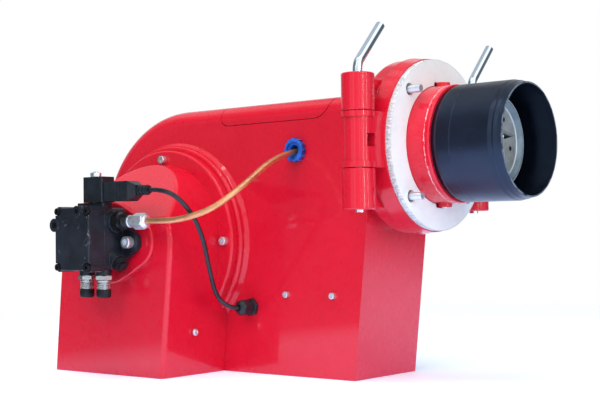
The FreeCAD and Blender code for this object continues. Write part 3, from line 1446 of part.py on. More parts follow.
PIECES = {
    "fan_housing": fan_housing,
    "pipe_bush": pipe_bush,
    "cable_gland": cable_gland,
    "solenoid_lead": solenoid_lead,
    "oil_pipe": oil_pipe,
    "pipe_unions": pipe_unions,
    "bay_screws": bay_screws,
    "inspection_hatch": hatch,
    "hatch_screws": hatch_screws,
    "intake_hood": intake_hood,
    "hood_screws": hood_screws,
    "inlet_cone": inlet_cone,
    "damper_flap": damper_flap,
    "damper_lever": damper_lever,
    "fan_wheel": fan_wheel,
    "pump_coupling": pump_coupling,
    "pump_shaft": pump_shaft,
    "motor_housing": motor_housing,
    "motor_screws": motor_screws,
    "motor_stator": motor_stator,
    "motor_rotor": motor_rotor,
    "motor_bearings": motor_bearings,
    "motor_rear_shield": motor_rear_shield,
    "motor_cooling_fan": motor_cooling_fan,
    "motor_cowl": motor_cowl,
    "terminal_box": terminal_box,
    "run_capacitor": run_capacitor,
    "pump_body": pump_body,
    "pump_cover": pump_cover,
    "pump_cover_screws": pump_cover_screws,
    "pump_port_plugs": pump_port_plugs,
    "pump_screws": pump_screws,
    "regulator_cap": regulator_cap,
    "outlet_adapter": outlet_adapter,
    "pump_nipples": pump_nipples,
    "suction_cap": lambda: port_cap(nipple_places()[0]),
    "return_cap": lambda: port_cap(nipple_places()[1]),
    "solenoid_stem": solenoid_stem,
    "solenoid_coil": solenoid_coil,
    "solenoid_nut": solenoid_nut,
    "coil_plug": coil_plug,
    "controls_cover": controls_cover,
    "control_box": control_box,
    "reset_button": reset_button,
    "ignition_transformer": ignition_transformer,
    "flame_sensor": flame_sensor,
    "boiler_flange": boiler_flange,
    "flange_gasket": flange_gasket,
    "boiler_studs": boiler_studs,
    "tube_set_screws": tube_set_screws,
    "flame_tube": flame_tube,
    "diffuser": diffuser,
    "head_spider": head_spider,
    "head_carrier": head_carrier,
    "nozzle_line": nozzle_line,
    "oil_nozzle": oil_nozzle,
    "electrodes": electrodes,
    "electrode_insulators": electrode_insulators,
    "hinge_pin_left": lambda: hinge_pin(-hinge_offset),
    "hinge_pin_right": lambda: hinge_pin(hinge_offset),
}

os.makedirs("parts", exist_ok=True)
for name, build in PIECES.items():
    shape = build()
    shape.exportStep("parts/" + name + ".step")
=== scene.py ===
import bpy
import math
import random
from mathutils import Matrix, Vector, noise


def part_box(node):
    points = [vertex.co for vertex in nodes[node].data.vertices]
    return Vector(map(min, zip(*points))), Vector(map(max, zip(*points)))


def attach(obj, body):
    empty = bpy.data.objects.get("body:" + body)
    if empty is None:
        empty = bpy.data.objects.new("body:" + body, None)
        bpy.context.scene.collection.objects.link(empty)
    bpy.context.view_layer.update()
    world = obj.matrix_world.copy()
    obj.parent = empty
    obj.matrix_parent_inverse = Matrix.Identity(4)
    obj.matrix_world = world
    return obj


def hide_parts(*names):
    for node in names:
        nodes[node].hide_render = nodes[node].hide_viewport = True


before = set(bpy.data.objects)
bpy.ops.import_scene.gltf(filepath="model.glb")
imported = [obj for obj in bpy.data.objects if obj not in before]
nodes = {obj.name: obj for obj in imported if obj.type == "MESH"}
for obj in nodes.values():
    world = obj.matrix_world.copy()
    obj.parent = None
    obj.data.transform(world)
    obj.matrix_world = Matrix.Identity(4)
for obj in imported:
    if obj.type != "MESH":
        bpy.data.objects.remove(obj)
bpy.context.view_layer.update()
MM = 0.001

# Camera fitted to the photograph: pixels, degrees and metres

PHOTO_WIDTH = 600
FOCAL_PIXELS = 1219.7
SENSOR_WIDTH = 36
CAMERA_YAW = 39.104
CAMERA_PITCH = 1.609
CAMERA_ROLL = -0.736
CAMERA_PLACE = (0.844, -1.3233, -0.1117)

# Sizes of the detailed pieces, in millimetres, and how many ribs, beads or teeth go round.
# Nuts are given across flats.

LEAD_RADIUS = 3.0
STUD_RADIUS = 5.0
STUD_PITCH = 1.5
NIPPLE_FLATS = 21.0
NIPPLE_NUT_HEIGHT = 6.4
NIPPLE_RADIUS = 9.5
NIPPLE_PITCH = 2.3
CAP_RADIUS = 9.9
CAP_HEIGHT = 11.0
CAP_RIBS = 24
UNION_FLATS = 19.0
UNION_LENGTH = 19.0
LINE_NUT_FLATS = 17.0
LINE_NUT_LENGTH = 13.7
LINE_NUT_BORE = 4.2
ADAPTER_FLATS = 22.0
ADAPTER_NUT_LENGTH = 12.0
COIL_NUT_FLATS = 13.0
COIL_NUT_HEIGHT = 5.2
GLAND_LENGTH = 29.0
LOCK_NUT_FLATS = 22.0
GLAND_FLATS = 19.8
GLAND_RADIUS = 10.5
GLAND_RIBS = 36
DAMPER_TILT = 0.096             # slope of the hood's side, which the shaft's end follows
WELD_X = 60.0
WELD_RADIUS = 74.2
WELD_BEADS = 120
GASKET_RADIUS = 109.45
GASKET_TEETH = 150
GASKET_BORE = 76.2
GASKET_MIDDLE_X = -4.0
GASKET_HALF_THICKNESS = 3.75
BOSS_RADIUS = 80
BOSS_NOTCH_HALF_WIDTH = 9.8
BOSS_NOTCH_RADIUS = 80.6
BOLT_CIRCLE_RADIUS = 94.0
BOLT_HOLE_RADIUS = 8.1

# Places on the surfaces where a colour changes, in metres

PAINT_EDGE_X = 0.0252           # ragged edge of the red paint on the collar
GASKET_FACE_X = -0.0012         # just inside the gasket's front face
GASKET_RIM = 0.1087             # the saw's marks begin here, outward
DISC_CREASE = 0.0475            # where the diffuser's disc turns into its cone
DISC_BACK_X = 0.0826            # painted shade deepens behind this, in the louvres
VENT_CIRCLE = 0.033
VENT_COUNT = 5
VENT_ANGLE = -13.0              # degrees, first vent

FLOOR_PLACE = (-0.2, 0, -0.3003)        # just under the burner's foot, in metres


def add_camera():
    yaw = math.radians(CAMERA_YAW)
    pitch = math.radians(CAMERA_PITCH)
    roll = math.radians(CAMERA_ROLL)
    level = math.cos(pitch)
    view = Vector((-math.sin(yaw) * level, math.cos(yaw) * level, math.sin(pitch)))
    right = Vector((math.cos(yaw), math.sin(yaw), 0))
    up = right.cross(view)
    x_axis = math.cos(roll) * right + math.sin(roll) * up
    y_axis = math.cos(roll) * up - math.sin(roll) * right
    data = bpy.data.cameras.new("photo_camera")
    data.sensor_width = SENSOR_WIDTH
    data.lens = SENSOR_WIDTH * FOCAL_PIXELS / PHOTO_WIDTH
    camera = bpy.data.objects.new("photo_camera", data)
    turn = Matrix((x_axis, y_axis, -view)).transposed().to_4x4()
    camera.matrix_world = Matrix.Translation(CAMERA_PLACE) @ turn
    bpy.context.scene.collection.objects.link(camera)
    bpy.context.scene.camera = camera


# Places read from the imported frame, in millimetres

def middle(node, axis):
    low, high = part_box(node)
    return (low[axis] + high[axis]) / 2 / MM


def low_end(node, axis):
    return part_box(node)[0][axis] / MM


def high_end(node, axis):
    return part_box(node)[1][axis] / MM


# Node trees

class Graph:
    """Adds nodes to one tree. Surfaces use the object's own coordinates, in metres."""

    def __init__(self, tree, coordinates="Object"):
        self.tree = tree
        self.place = self.add("ShaderNodeTexCoord").outputs[coordinates]

    def add(self, kind, **values):
        node = self.tree.nodes.new(kind)
        for key, value in values.items():
            setattr(node, key, value)
        return node

    def link(self, source, socket):
        self.tree.links.new(source, socket)

    def stretched(self, scale):
        node = self.add("ShaderNodeMapping")
        node.inputs["Scale"].default_value = scale
        self.link(self.place, node.inputs["Vector"])
        return node.outputs["Vector"]

    def noise(self, scale, detail, rough=0.55, where=None, distortion=0.0):
        node = self.add("ShaderNodeTexNoise")
        node.inputs["Scale"].default_value = scale
        node.inputs["Detail"].default_value = detail
        node.inputs["Roughness"].default_value = rough
        node.inputs["Distortion"].default_value = distortion
        self.link(where or self.place, node.inputs["Vector"])
        return node.outputs["Fac"]

    def spots(self, scale):
        node = self.add("ShaderNodeTexVoronoi")
        node.inputs["Scale"].default_value = scale
        self.link(self.place, node.inputs["Vector"])
        return node.outputs["Distance"]

    def ramp(self, value, low, high, to_low=0.0, to_high=1.0):
        node = self.add("ShaderNodeMapRange")
        node.inputs["From Min"].default_value = low
        node.inputs["From Max"].default_value = high
        node.inputs["To Min"].default_value = to_low
        node.inputs["To Max"].default_value = to_high
        self.link(value, node.inputs["Value"])
        return node.outputs["Result"]

    def patches(self, scale, detail, low, high, to_low=0.0, to_high=1.0, rough=0.55, where=None,
                distortion=0.0):
        # noise, with its stretch between low and high spread over to_low and to_high
        cloud = self.noise(scale, detail, rough, where, distortion)
        return self.ramp(cloud, low, high, to_low, to_high)

    def math(self, kind, *values):
        node = self.add("ShaderNodeMath", operation=kind)
        for socket, value in zip(node.inputs, values):
            if isinstance(value, (int, float)):
                socket.default_value = value
            else:
                self.link(value, socket)
        return node.outputs["Value"]

    def product(self, first, second):
        return self.math("MULTIPLY", first, second)

    def squares(self, first, second):
        return self.math("ADD", self.product(first, first), self.product(second, second))

    def axis(self, name):
        node = self.add("ShaderNodeSeparateXYZ")
        self.link(self.place, node.inputs["Vector"])
        return node.outputs[name]

    def color_mix(self, factor, first, second):
        node = self.add("ShaderNodeMix", data_type="RGBA")
        self.link(factor, node.inputs[0])
        for socket, value in ((node.inputs[6], first), (node.inputs[7], second)):
            if isinstance(value, tuple):
                socket.default_value = (*value, 1)
            else:
                self.link(value, socket)
        return node.outputs[2]


class Shader(Graph):
    """One material with its Principled shader."""

    def __init__(self, name, color, rough, metallic=0.0, coat=0.0, coat_rough=0.05, specular=0.5,
                 sheen=0.0):
        self.material = bpy.data.materials.new(name)
        self.material.use_nodes = True
        super().__init__(self.material.node_tree)
        self.shader = self.tree.nodes["Principled BSDF"]
        self.set("Base Color", (*color, 1))
        self.set("Roughness", rough)
        self.set("Metallic", metallic)
        self.set("Coat Weight", coat)
        self.set("Coat Roughness", coat_rough)
        self.set("Specular IOR Level", specular)
        self.set("Sheen Weight", sheen)
        self.material.diffuse_color = (*color, 1)
        self.bump_normal = None

    def set(self, socket, value):
        self.shader.inputs[socket].default_value = value

    def color(self, source):
        self.link(source, self.shader.inputs["Base Color"])

    def rough(self, source):
        self.link(source, self.shader.inputs["Roughness"])

    def gloss(self, scale, detail, smoothest, roughest):
        self.rough(self.patches(scale, detail, 0.3, 0.7, smoothest, roughest))

    def bump(self, height, distance, strength):
        node = self.add("ShaderNodeBump")
        node.inputs["Strength"].default_value = strength
        node.inputs["Distance"].default_value = distance
        self.link(height, node.inputs["Height"])
        if self.bump_normal:
            self.link(self.bump_normal, node.inputs["Normal"])
        self.bump_normal = node.outputs["Normal"]
        self.link(self.bump_normal, self.shader.inputs["Normal"])

    def bevel(self, radius):
        node = self.add("ShaderNodeBevel", samples=4)
        node.inputs["Radius"].default_value = radius
        return node.outputs["Normal"]

    def soft_edges(self, radius):
        self.bump_normal = self.bevel(radius)
        self.link(self.bump_normal, self.shader.inputs["Normal"])

    def edge_mask(self, radius):
        # 0 on flat stretches, 1 on sharp outer and inner edges
        plain = self.add("ShaderNodeNewGeometry").outputs["Normal"]
        dot = self.add("ShaderNodeVectorMath", operation="DOT_PRODUCT")
        self.link(self.bevel(radius), dot.inputs[0])
        self.link(plain, dot.inputs[1])
        return self.ramp(dot.outputs["Value"], 1.0, 0.75)


def shaded(color, share):
    return tuple(share * c for c in color)


# Materials

def red_paint(name, chipped=False):
    deep, lively = (0.56, 0.004, 0.020), (0.61, 0.006, 0.026)
    dark_speck, dust, primer = (0.16, 0.012, 0.014), (0.80, 0.16, 0.18), (0.82, 0.54, 0.54)
    s = Shader(name, (0.62, 0.012, 0.022), 0.34, coat=0.65, coat_rough=0.035, specular=0.2)
    s.soft_edges(0.0011)
    base = s.color_mix(s.patches(5.0, 3.0, 0.35, 0.7), deep, lively)
    # small dark specks in groups, under a thin haze of dust
    specks = s.product(s.ramp(s.spots(210.0), 0.09, 0.05), s.patches(22.0, 2.0, 0.66, 0.74))
    base = s.color_mix(s.product(specks, 0.25), base, dark_speck)
    haze = s.patches(14.0, 6.0, 0.55, 0.85, to_high=0.04, rough=0.7)
    base = s.color_mix(haze, base, dust)
    rough = s.patches(60.0, 5.0, 0.3, 0.75, 0.22, 0.40)
    if chipped:
        # ragged paint edge on the collar, just behind the flame tube
        wander = s.patches(160.0, 4.0, 0.25, 0.75, -0.0016, 0.0016, rough=0.7)
        x = s.math("ADD", s.axis("X"), wander)
        line = s.math("ABSOLUTE", s.math("SUBTRACT", x, PAINT_EDGE_X))
        broken = s.patches(300.0, 3.0, 0.42, 0.52, rough=0.8)
        bare = s.product(s.ramp(line, 0.0009, 0.0003), broken)
        base = s.color_mix(bare, base, primer)
        rough = s.math("ADD", rough, s.product(bare, 0.4))
        s.bump(s.ramp(x, PAINT_EDGE_X - 0.0004, PAINT_EDGE_X + 0.0002, 1.0, 0.0), 0.0004, 0.8)
    s.color(base)
    s.rough(rough)
    s.bump(s.noise(26.0, 3.0), 0.0016, 0.12)
    s.bump(s.noise(420.0, 2.0, 0.5), 0.00022, 0.17)
    return s.material


def cast_black(name, scuffed=False):
    s = Shader(name, (0.008, 0.010, 0.014), 0.36, specular=0.32)
    s.soft_edges(0.0008)
    clouds = s.patches(40.0, 4.0, 0.35, 0.7)
    base = s.color_mix(clouds, (0.007, 0.009, 0.013), (0.015, 0.019, 0.027))
    if scuffed:
        long_marks = s.stretched((1, 3.5, 0.9))
        marks = s.patches(26.0, 5.0, 0.585, 0.60, rough=0.75, where=long_marks, distortion=1.5)
        scuff = s.product(marks, s.patches(38.0, 2.0, 0.52, 0.6))
        base = s.color_mix(scuff, base, (0.12, 0.135, 0.16))
    # lighter edges: partly edge wear, partly a painted highlight on the rounded edges
    wear_and_highlight = s.product(s.edge_mask(0.0007), s.patches(160.0, 3.0, 0.46, 0.60))
    s.color(s.color_mix(s.product(wear_and_highlight, 0.6), base, (0.20, 0.22, 0.25)))
    s.gloss(120.0, 4.0, 0.28, 0.44)
    s.bump(s.noise(900.0, 3.0, 0.6), 0.00018, 0.6)
    return s.material


def zinc(name, color=(0.76, 0.80, 0.84), rough=0.30):
    s = Shader(name, color, rough, metallic=0.88)
    s.soft_edges(0.0004)
    dull = s.patches(150.0, 5.0, 0.4, 0.85, to_high=0.6, rough=0.65)
    s.color(s.color_mix(dull, color, shaded(color, 0.72)))
    s.gloss(260.0, 4.0, rough - 0.04, rough + 0.12)
    s.bump(s.noise(1500.0, 2.0), 0.00003, 0.4)
    return s.material


def bright_pin(name):
    s = Shader(name, (0.80, 0.84, 0.88), 0.10, metallic=1.0)
    lines = s.noise(60.0, 4.0, 0.6, s.stretched((30, 30, 1)))
    dull = s.patches(45.0, 5.0, 0.5, 0.85, to_high=0.5, rough=0.7)
    s.color(s.color_mix(dull, (0.78, 0.88, 0.97), (0.58, 0.67, 0.76)))
    s.rough(s.ramp(lines, 0.3, 0.7, 0.05, 0.13))
    s.bump(lines, 0.00003, 0.2)
    return s.material


def copper(name):
    bright, brown, dark_brown = (0.78, 0.38, 0.19), (0.55, 0.24, 0.12), (0.40, 0.19, 0.11)
    s = Shader(name, (0.74, 0.40, 0.22), 0.36, metallic=0.9)
    base = s.color_mix(s.patches(38.0, 6.0, 0.42, 0.70, rough=0.7), bright, brown)
    streak = s.patches(230.0, 3.0, 0.62, 0.74, to_high=0.4, rough=0.6)
    s.color(s.color_mix(streak, base, dark_brown))
    s.gloss(90.0, 5.0, 0.30, 0.46)
    s.bump(s.noise(320.0, 3.0), 0.00006, 0.3)
    return s.material


def moulded(name, color, rough, specular=0.5):
    s = Shader(name, color, rough, specular=specular)
    s.soft_edges(0.0005)
    lighter = tuple(min(1.0, c * 1.5 + 0.003) for c in color)
    s.color(s.color_mix(s.patches(70.0, 3.0, 0.4, 0.7), color, lighter))
    s.gloss(180.0, 4.0, rough - 0.07, rough + 0.08)
    s.bump(s.noise(1400.0, 2.0), 0.00006, 0.6)
    return s.material


def rubber(name):
    s = Shader(name, (0.006, 0.009, 0.014), 0.30)
    clouds = s.patches(55.0, 4.0, 0.4, 0.75)
    s.color(s.color_mix(clouds, (0.004, 0.006, 0.010), (0.012, 0.016, 0.024)))
    s.gloss(130.0, 4.0, 0.24, 0.38)
    s.bump(s.noise(700.0, 2.0), 0.00008, 0.4)
    return s.material


def gasket_board(name):
    clean, stained, fleck = (0.74, 0.76, 0.75), (0.58, 0.60, 0.60), (0.56, 0.56, 0.60)
    crumbled, sawn = (0.58, 0.60, 0.66), (0.40, 0.42, 0.46)
    s = Shader(name, (0.78, 0.79, 0.83), 0.92, specular=0.2, sheen=0.15)
    base = s.color_mix(s.patches(30.0, 6.0, 0.48, 0.72, to_high=0.5, rough=0.7), clean, stained)
    base = s.color_mix(s.patches(420.0, 3.0, 0.60, 0.75, to_high=0.35, rough=0.7), base, fleck)
    # crumbled edge behind the face, and the saw's marks on the rim
    behind_face = s.ramp(s.axis("X"), GASKET_FACE_X, GASKET_FACE_X - 0.0016)
    crumbs = s.product(s.patches(620.0, 3.0, 0.50, 0.62, rough=0.8), behind_face)
    base = s.color_mix(s.product(crumbs, 0.5), base, crumbled)
    rim = s.ramp(s.squares(s.axis("Y"), s.axis("Z")), GASKET_RIM ** 2, (GASKET_RIM + 0.0003) ** 2)
    cuts = s.patches(480.0, 2.0, 0.46, 0.60, rough=0.7, where=s.stretched((0.35, 1, 1)))
    s.color(s.color_mix(s.product(rim, s.product(cuts, 0.6)), base, sawn))
    s.bump(s.product(rim, cuts), 0.0010, 0.8)
    s.bump(s.noise(900.0, 4.0, 0.8), 0.0005, 0.5)
    s.bump(s.product(s.spots(520.0), behind_face), 0.0012, 0.8)
    return s.material


def tube_black(name):
    s = Shader(name, (0.005, 0.008, 0.014), 0.40, specular=0.70)
    s.set("Specular Tint", (0.44, 0.62, 1.0, 1))
    clouds = s.patches(18.0, 5.0, 0.35, 0.75, rough=0.6)
    base = s.color_mix(clouds, (0.002, 0.003, 0.007), (0.005, 0.008, 0.015))
    scuffs = s.patches(120.0, 5.0, 0.66, 0.72, rough=0.8, where=s.stretched((0.3, 1, 1)))
    base = s.color_mix(s.product(scuffs, 0.25), base, (0.06, 0.058, 0.056))
    # paint worn through on the mouth's edge
    mouth = high_end("flame_tube", 0) * MM
    x = s.math("ADD", s.axis("X"), s.patches(90.0, 4.0, 0.3, 0.7, -0.0010, 0.0006, rough=0.7))
    bare = s.ramp(x, mouth - 0.0008, mouth - 0.0002)
    s.color(s.color_mix(s.product(bare, 0.7), base, (0.17, 0.21, 0.26)))
    s.gloss(50.0, 5.0, 0.28, 0.37)
    hoops = s.noise(80.0, 4.0, 0.6, s.stretched((14, 1, 1)))
    s.bump(hoops, 0.00008, 0.3)
    s.bump(s.noise(800.0, 2.0), 0.00008, 0.3)
    return s.material


def sheet_grey(name, color=(0.36, 0.40, 0.42), rough=0.42):
    s = Shader(name, color, rough, metallic=0.85)
    s.soft_edges(0.0004)
    s.color(s.color_mix(s.patches(45.0, 5.0, 0.38, 0.75, rough=0.65), color, shaded(color, 0.55)))
    s.gloss(160.0, 4.0, rough - 0.08, rough + 0.12)
    s.bump(s.noise(600.0, 3.0), 0.00008, 0.5)
    return s.material


def swirl_grey(name):
    # the diffuser: a cone painted darker and bluer than its disc as painted shade, a pale crease
    # and rim that are a painted highlight and partly bare metal, and painted shade in the louvres
    # and round the vents
    s = Shader(name, (0.34, 0.38, 0.39), 0.46, metallic=0.35)
    s.soft_edges(0.0004)
    y = s.axis("Y")
    z = s.axis("Z")
    out = s.math("SQRT", s.squares(y, z))
    edge = high_end("diffuser", 1) * MM
    clouds = s.patches(45.0, 5.0, 0.38, 0.75, rough=0.65)
    disc = s.color_mix(clouds, (0.34, 0.37, 0.37), (0.19, 0.21, 0.21))
    # the cone is the disc's own sheet, painted darker and bluer: painted shade
    cone = s.color_mix(s.patches(70.0, 4.0, 0.35, 0.75), (0.17, 0.23, 0.27), (0.10, 0.14, 0.17))
    base = s.color_mix(s.ramp(out, DISC_CREASE - 0.0002, DISC_CREASE + 0.0003), disc, cone)
    # pale line on the crease and on the outer rim: painted highlight, partly bare metal
    crease_highlight = s.ramp(s.math("ABSOLUTE", s.math("SUBTRACT", out, DISC_CREASE)), 0.0008, 0.0003)
    bare = s.math("MAXIMUM", s.product(crease_highlight, 0.7), s.ramp(out, edge - 0.0011, edge - 0.0006))
    base = s.color_mix(bare, base, (0.60, 0.68, 0.72))
    # distance from the nearest vent, squared
    turn = s.math("SUBTRACT", s.math("ARCTAN2", z, y), math.radians(VENT_ANGLE))
    turn = s.math("PINGPONG", turn, math.pi / VENT_COUNT)
    across = s.product(out, s.math("SINE", turn))
    along = s.math("SUBTRACT", s.product(out, s.math("COSINE", turn)), VENT_CIRCLE)
    # painted shade round each vent, and behind DISC_BACK_X in the louvres
    shade_round_vent = s.ramp(s.squares(across, along), 0.0036 ** 2, 0.0029 ** 2)
    vent_and_louvre_shade = s.math("MAXIMUM", shade_round_vent, s.ramp(s.axis("X"), DISC_BACK_X, DISC_BACK_X - 0.0018))
    s.color(s.color_mix(s.product(vent_and_louvre_shade, 0.93), base, (0.012, 0.013, 0.014)))
    s.gloss(160.0, 4.0, 0.38, 0.58)
    s.bump(s.noise(600.0, 3.0), 0.00008, 0.5)
    return s.material


def cast_grey(name):
    color = (0.50, 0.51, 0.53)
    s = Shader(name, color, 0.48, metallic=0.7)
    s.soft_edges(0.0006)
    s.color(s.color_mix(s.patches(30.0, 5.0, 0.35, 0.75), color, shaded(color, 0.7)))
    s.gloss(200.0, 4.0, 0.40, 0.60)
    s.bump(s.noise(700.0, 3.0, 0.6), 0.0002, 0.5)
    return s.material


def glazed(name):
    s = Shader(name, (0.86, 0.84, 0.78), 0.16, coat=0.5)
    s.color(s.color_mix(s.patches(90.0, 4.0, 0.4, 0.75), (0.88, 0.87, 0.82), (0.70, 0.66, 0.56)))
    s.bump(s.noise(300.0, 2.0), 0.00006, 0.4)
    return s.material


def copper_winding(name):
    s = Shader(name, (0.42, 0.18, 0.08), 0.35, metallic=0.6, coat=0.5)
    strands = s.noise(420.0, 2.0, 0.5, s.stretched((1, 8, 1)))
    s.color(s.color_mix(s.ramp(strands, 0.4, 0.6), (0.55, 0.24, 0.10), (0.25, 0.10, 0.04)))
    s.bump(strands, 0.0006, 0.7)
    return s.material


def dress():
    looks = {
        red_paint("red_gloss"): ["fan_housing", "inspection_hatch", "intake_hood"],
        red_paint("red_gloss_head", chipped=True): ["boiler_flange"],
        cast_black("pump_black"): ["pump_body"],
        cast_black("pump_black_scuffed", scuffed=True): ["pump_cover"],
        zinc("zinc_bright"): [
            "hood_screws", "hatch_screws", "pump_screws", "tube_set_screws", "bay_screws",
            "motor_screws", "solenoid_nut", "pipe_unions", "boiler_studs", "motor_bearings",
            "solenoid_stem", "nozzle_line", "electrodes"],
        zinc("zinc_worn", (0.50, 0.50, 0.47), 0.28): ["pump_nipples"],
        zinc("steel_black", (0.035, 0.037, 0.042), 0.36): [
            "pump_cover_screws", "outlet_adapter", "motor_rotor", "pump_shaft", "pump_port_plugs",
            "regulator_cap"],
        bright_pin("pin_chrome"): ["hinge_pin_left", "hinge_pin_right"],
        copper("pipe_copper"): ["oil_pipe"],
        moulded("nylon_blue", (0.006, 0.075, 0.36), 0.38): ["pipe_bush"],
        moulded("moulded_black", (0.006, 0.009, 0.013), 0.34, specular=0.42): [
            "solenoid_coil", "coil_plug", "damper_lever", "pump_coupling", "motor_cooling_fan",
            "flame_sensor", "cable_gland", "ignition_transformer"],
        moulded("cap_black", (0.003, 0.004, 0.006), 0.30, specular=0.25): [
            "suction_cap", "return_cap"],
        moulded("box_grey", (0.055, 0.058, 0.065), 0.46): ["control_box", "terminal_box"],
        moulded("capacitor_grey", (0.30, 0.31, 0.33), 0.40): ["run_capacitor"],
        moulded("button_red", (0.55, 0.015, 0.015), 0.28): ["reset_button"],
        rubber("lead_black"): ["solenoid_lead"],
        gasket_board("gasket_white"): ["flange_gasket"],
        tube_black("tube_paint"): ["flame_tube"],
        swirl_grey("sheet_pale"): ["diffuser"],
        sheet_grey("sheet_steel"): ["head_spider", "head_carrier", "damper_flap", "inlet_cone"],
        sheet_grey("sheet_zinc", (0.55, 0.57, 0.58), 0.34): ["fan_wheel", "controls_cover"],
        cast_grey("motor_casting"): ["motor_housing", "motor_rear_shield"],
        moulded("cowl_dark", (0.030, 0.032, 0.036), 0.36): ["motor_cowl"],
        copper_winding("winding_copper"): ["motor_stator"],
        zinc("brass_turned", (0.72, 0.52, 0.22), 0.24): ["oil_nozzle"],
        glazed("glazed_white"): ["electrode_insulators"],
    }
    look_of = {}
    for material, names in looks.items():
        for name in names:
            mesh = nodes[name].data
            mesh.materials.clear()
            mesh.materials.append(material)
            look_of[name] = material
    return look_of


# Geometry for the detailed pieces, in millimetres

X = (1, 0, 0)
Z = (0, 0, 1)


def hexagon_radius(angle, half_flats):
    return half_flats / math.cos((angle + math.pi / 6) % (math.pi / 3) - math.pi / 6)


def to_object(name, points, faces, material, smooth):
    # edges sharper than smooth degrees stay sharp
    mesh = bpy.data.meshes.new(name)
    mesh.from_pydata(points, [], faces)
    mesh.update()
    mesh.validate()
    for polygon in mesh.polygons:
        polygon.use_smooth = True
    mesh.set_sharp_from_angle(angle=math.radians(smooth))
    mesh.materials.append(material)
    made = bpy.data.objects.new(name, mesh)
    bpy.context.scene.collection.objects.link(made)
    return made


class Builder:
    """Collects closed rings of points into one mesh."""

    def __init__(self):
        self.points = []
        self.faces = []

    def skin(self, rings, close=True):
        count = len(rings[0])
        base = len(self.points)
        for ring in rings:
            self.points += [tuple(MM * c for c in p) for p in ring]
        for i in range(len(rings) - 1):
            for k in range(count):
                a = base + i * count + k
                b = base + i * count + (k + 1) % count
                self.faces.append((a, b, b + count, a + count))
        if close:
            self.faces.append(tuple(base + k for k in range(count))[::-1])
            last = base + (len(rings) - 1) * count
            self.faces.append(tuple(last + k for k in range(count)))

    def turned(self, rows, start, direction, segments=48, shape=None, twist=0.0):
        # rows are (distance along, radius); shape gives a radius, or a radius and a distance,
        # for an angle and a row
        axis = Vector(direction).normalized()
        side = axis.orthogonal().normalized()
        if abs(axis.z) > 0.99:
            side = Vector(X)
        other = axis.cross(side)
        rings = []
        for along, radius in rows:
            ring = []
            for k in range(segments):
                angle = 2 * math.pi * k / segments
                outward = side * math.cos(angle + twist) + other * math.sin(angle + twist)
                r = shape(angle, along, radius) if shape else radius
                z = along
                if isinstance(r, tuple):
                    r, z = r
                ring.append(Vector(start) + axis * z + outward * r)
            rings.append(ring)
        self.skin(rings)

    def hexagon(self, flats, length, start, direction, twist=0.0, bore=0.0):
        # corners chamfered at both ends, with a bored mouth if asked
        half = flats / 2
        margin = 0.3
        face = half * 0.94
        rows = [(0, face), (margin, 0), (length - margin, 0), (length, face)]
        if bore:
            rows += [(length, bore + 0.4), (length - 0.6, bore), (length - 3.0, bore)]

        def six_sided(angle, along, radius):
            if radius:
                return radius
            r = hexagon_radius(angle, half)
            chamfer = (r - half) * 0.55
            return r, along + (chamfer if along == margin else -chamfer)

        self.turned(rows, start, direction, 60, six_sided, twist)

    def thread(self, radius, length, pitch, start, direction, depth, ends=1.0, segments=36):
        # ends is the length over which the thread runs out
        core = radius - depth - 0.2
        steps = int(length / pitch * 8)
        turns = [(length * i / steps, radius) for i in range(steps + 1)]
        rows = [(0, core)] + turns + [(length, core)]

        def groove(angle, along, r):
            if r < radius - depth:
                return r
            phase = (along / pitch + angle / (2 * math.pi)) % 1.0
            cut = depth * (1 - abs(2 * phase - 1))
            edge = min(1.0, along / ends, (length - along) / ends)
            return r - cut - (1 - max(0.0, edge)) * depth * 0.8

        self.turned(rows, start, direction, segments, groove)

    def make(self, name, material, smooth):
        return to_object(name, self.points, self.faces, material, smooth)


def settle(made, body, node=None):
    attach(made, body)
    if node:
        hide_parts(node)


# Pieces

def solenoid_cord(look):
    plug_x = high_end("coil_plug", 0) + 0.2
    plug_y = middle("coil_plug", 1)
    plug_z = middle("coil_plug", 2) + 0.5
    gland_x = middle("cable_gland", 0)
    gland_y = low_end("cable_gland", 1)
    gland_z = middle("cable_gland", 2)
    route = [(plug_x, plug_y, plug_z), (plug_x + 33, plug_y - 1, plug_z),
             (gland_x + 19, plug_y + 17, plug_z - 23), (gland_x + 17, gland_y - 86, gland_z + 101),
             (gland_x + 2, gland_y - 57, gland_z + 52), (gland_x - 10, gland_y - 32, gland_z + 16),
             (gland_x - 3, gland_y - 14, gland_z + 1), (gland_x, gland_y, gland_z)]
    curve = bpy.data.curves.new("solenoid_cord", "CURVE")
    curve.dimensions = "3D"
    curve.bevel_depth = LEAD_RADIUS * MM
    curve.bevel_resolution = 5
    curve.resolution_u = 16
    curve.use_fill_caps = True
    line = curve.splines.new("NURBS")
    line.points.add(len(route) - 1)
    for spot, p in zip(line.points, route):
        spot.co = (p[0] * MM, p[1] * MM, p[2] * MM, 1)
    line.order_u = 3
    line.use_endpoint_u = True
    curve.materials.append(look)
    made = bpy.data.objects.new("solenoid_cord", curve)
    bpy.context.scene.collection.objects.link(made)
    settle(made, "housing", "solenoid_lead")


def threaded_studs(look):
    b = Builder()
    tip = high_end("boiler_studs", 0)
    root = low_end("boiler_studs", 0)
    offset = high_end("boiler_studs", 1) - STUD_RADIUS
    shank = [(root, 4.2), (-8.1, 4.2), (-8.0, 4.8), (0.6, 4.8)]
    for y, z in ((offset, offset), (-offset, offset), (-offset, -offset), (offset, -offset)):
        b.thread(STUD_RADIUS - 0.05, tip - 0.5, STUD_PITCH, (0.2, y, z), X, depth=0.45, ends=1.4)
        b.turned(shank, (0, y, z), X, 32)
    settle(b.make("studs_threaded", look, 50), "head", "boiler_studs")


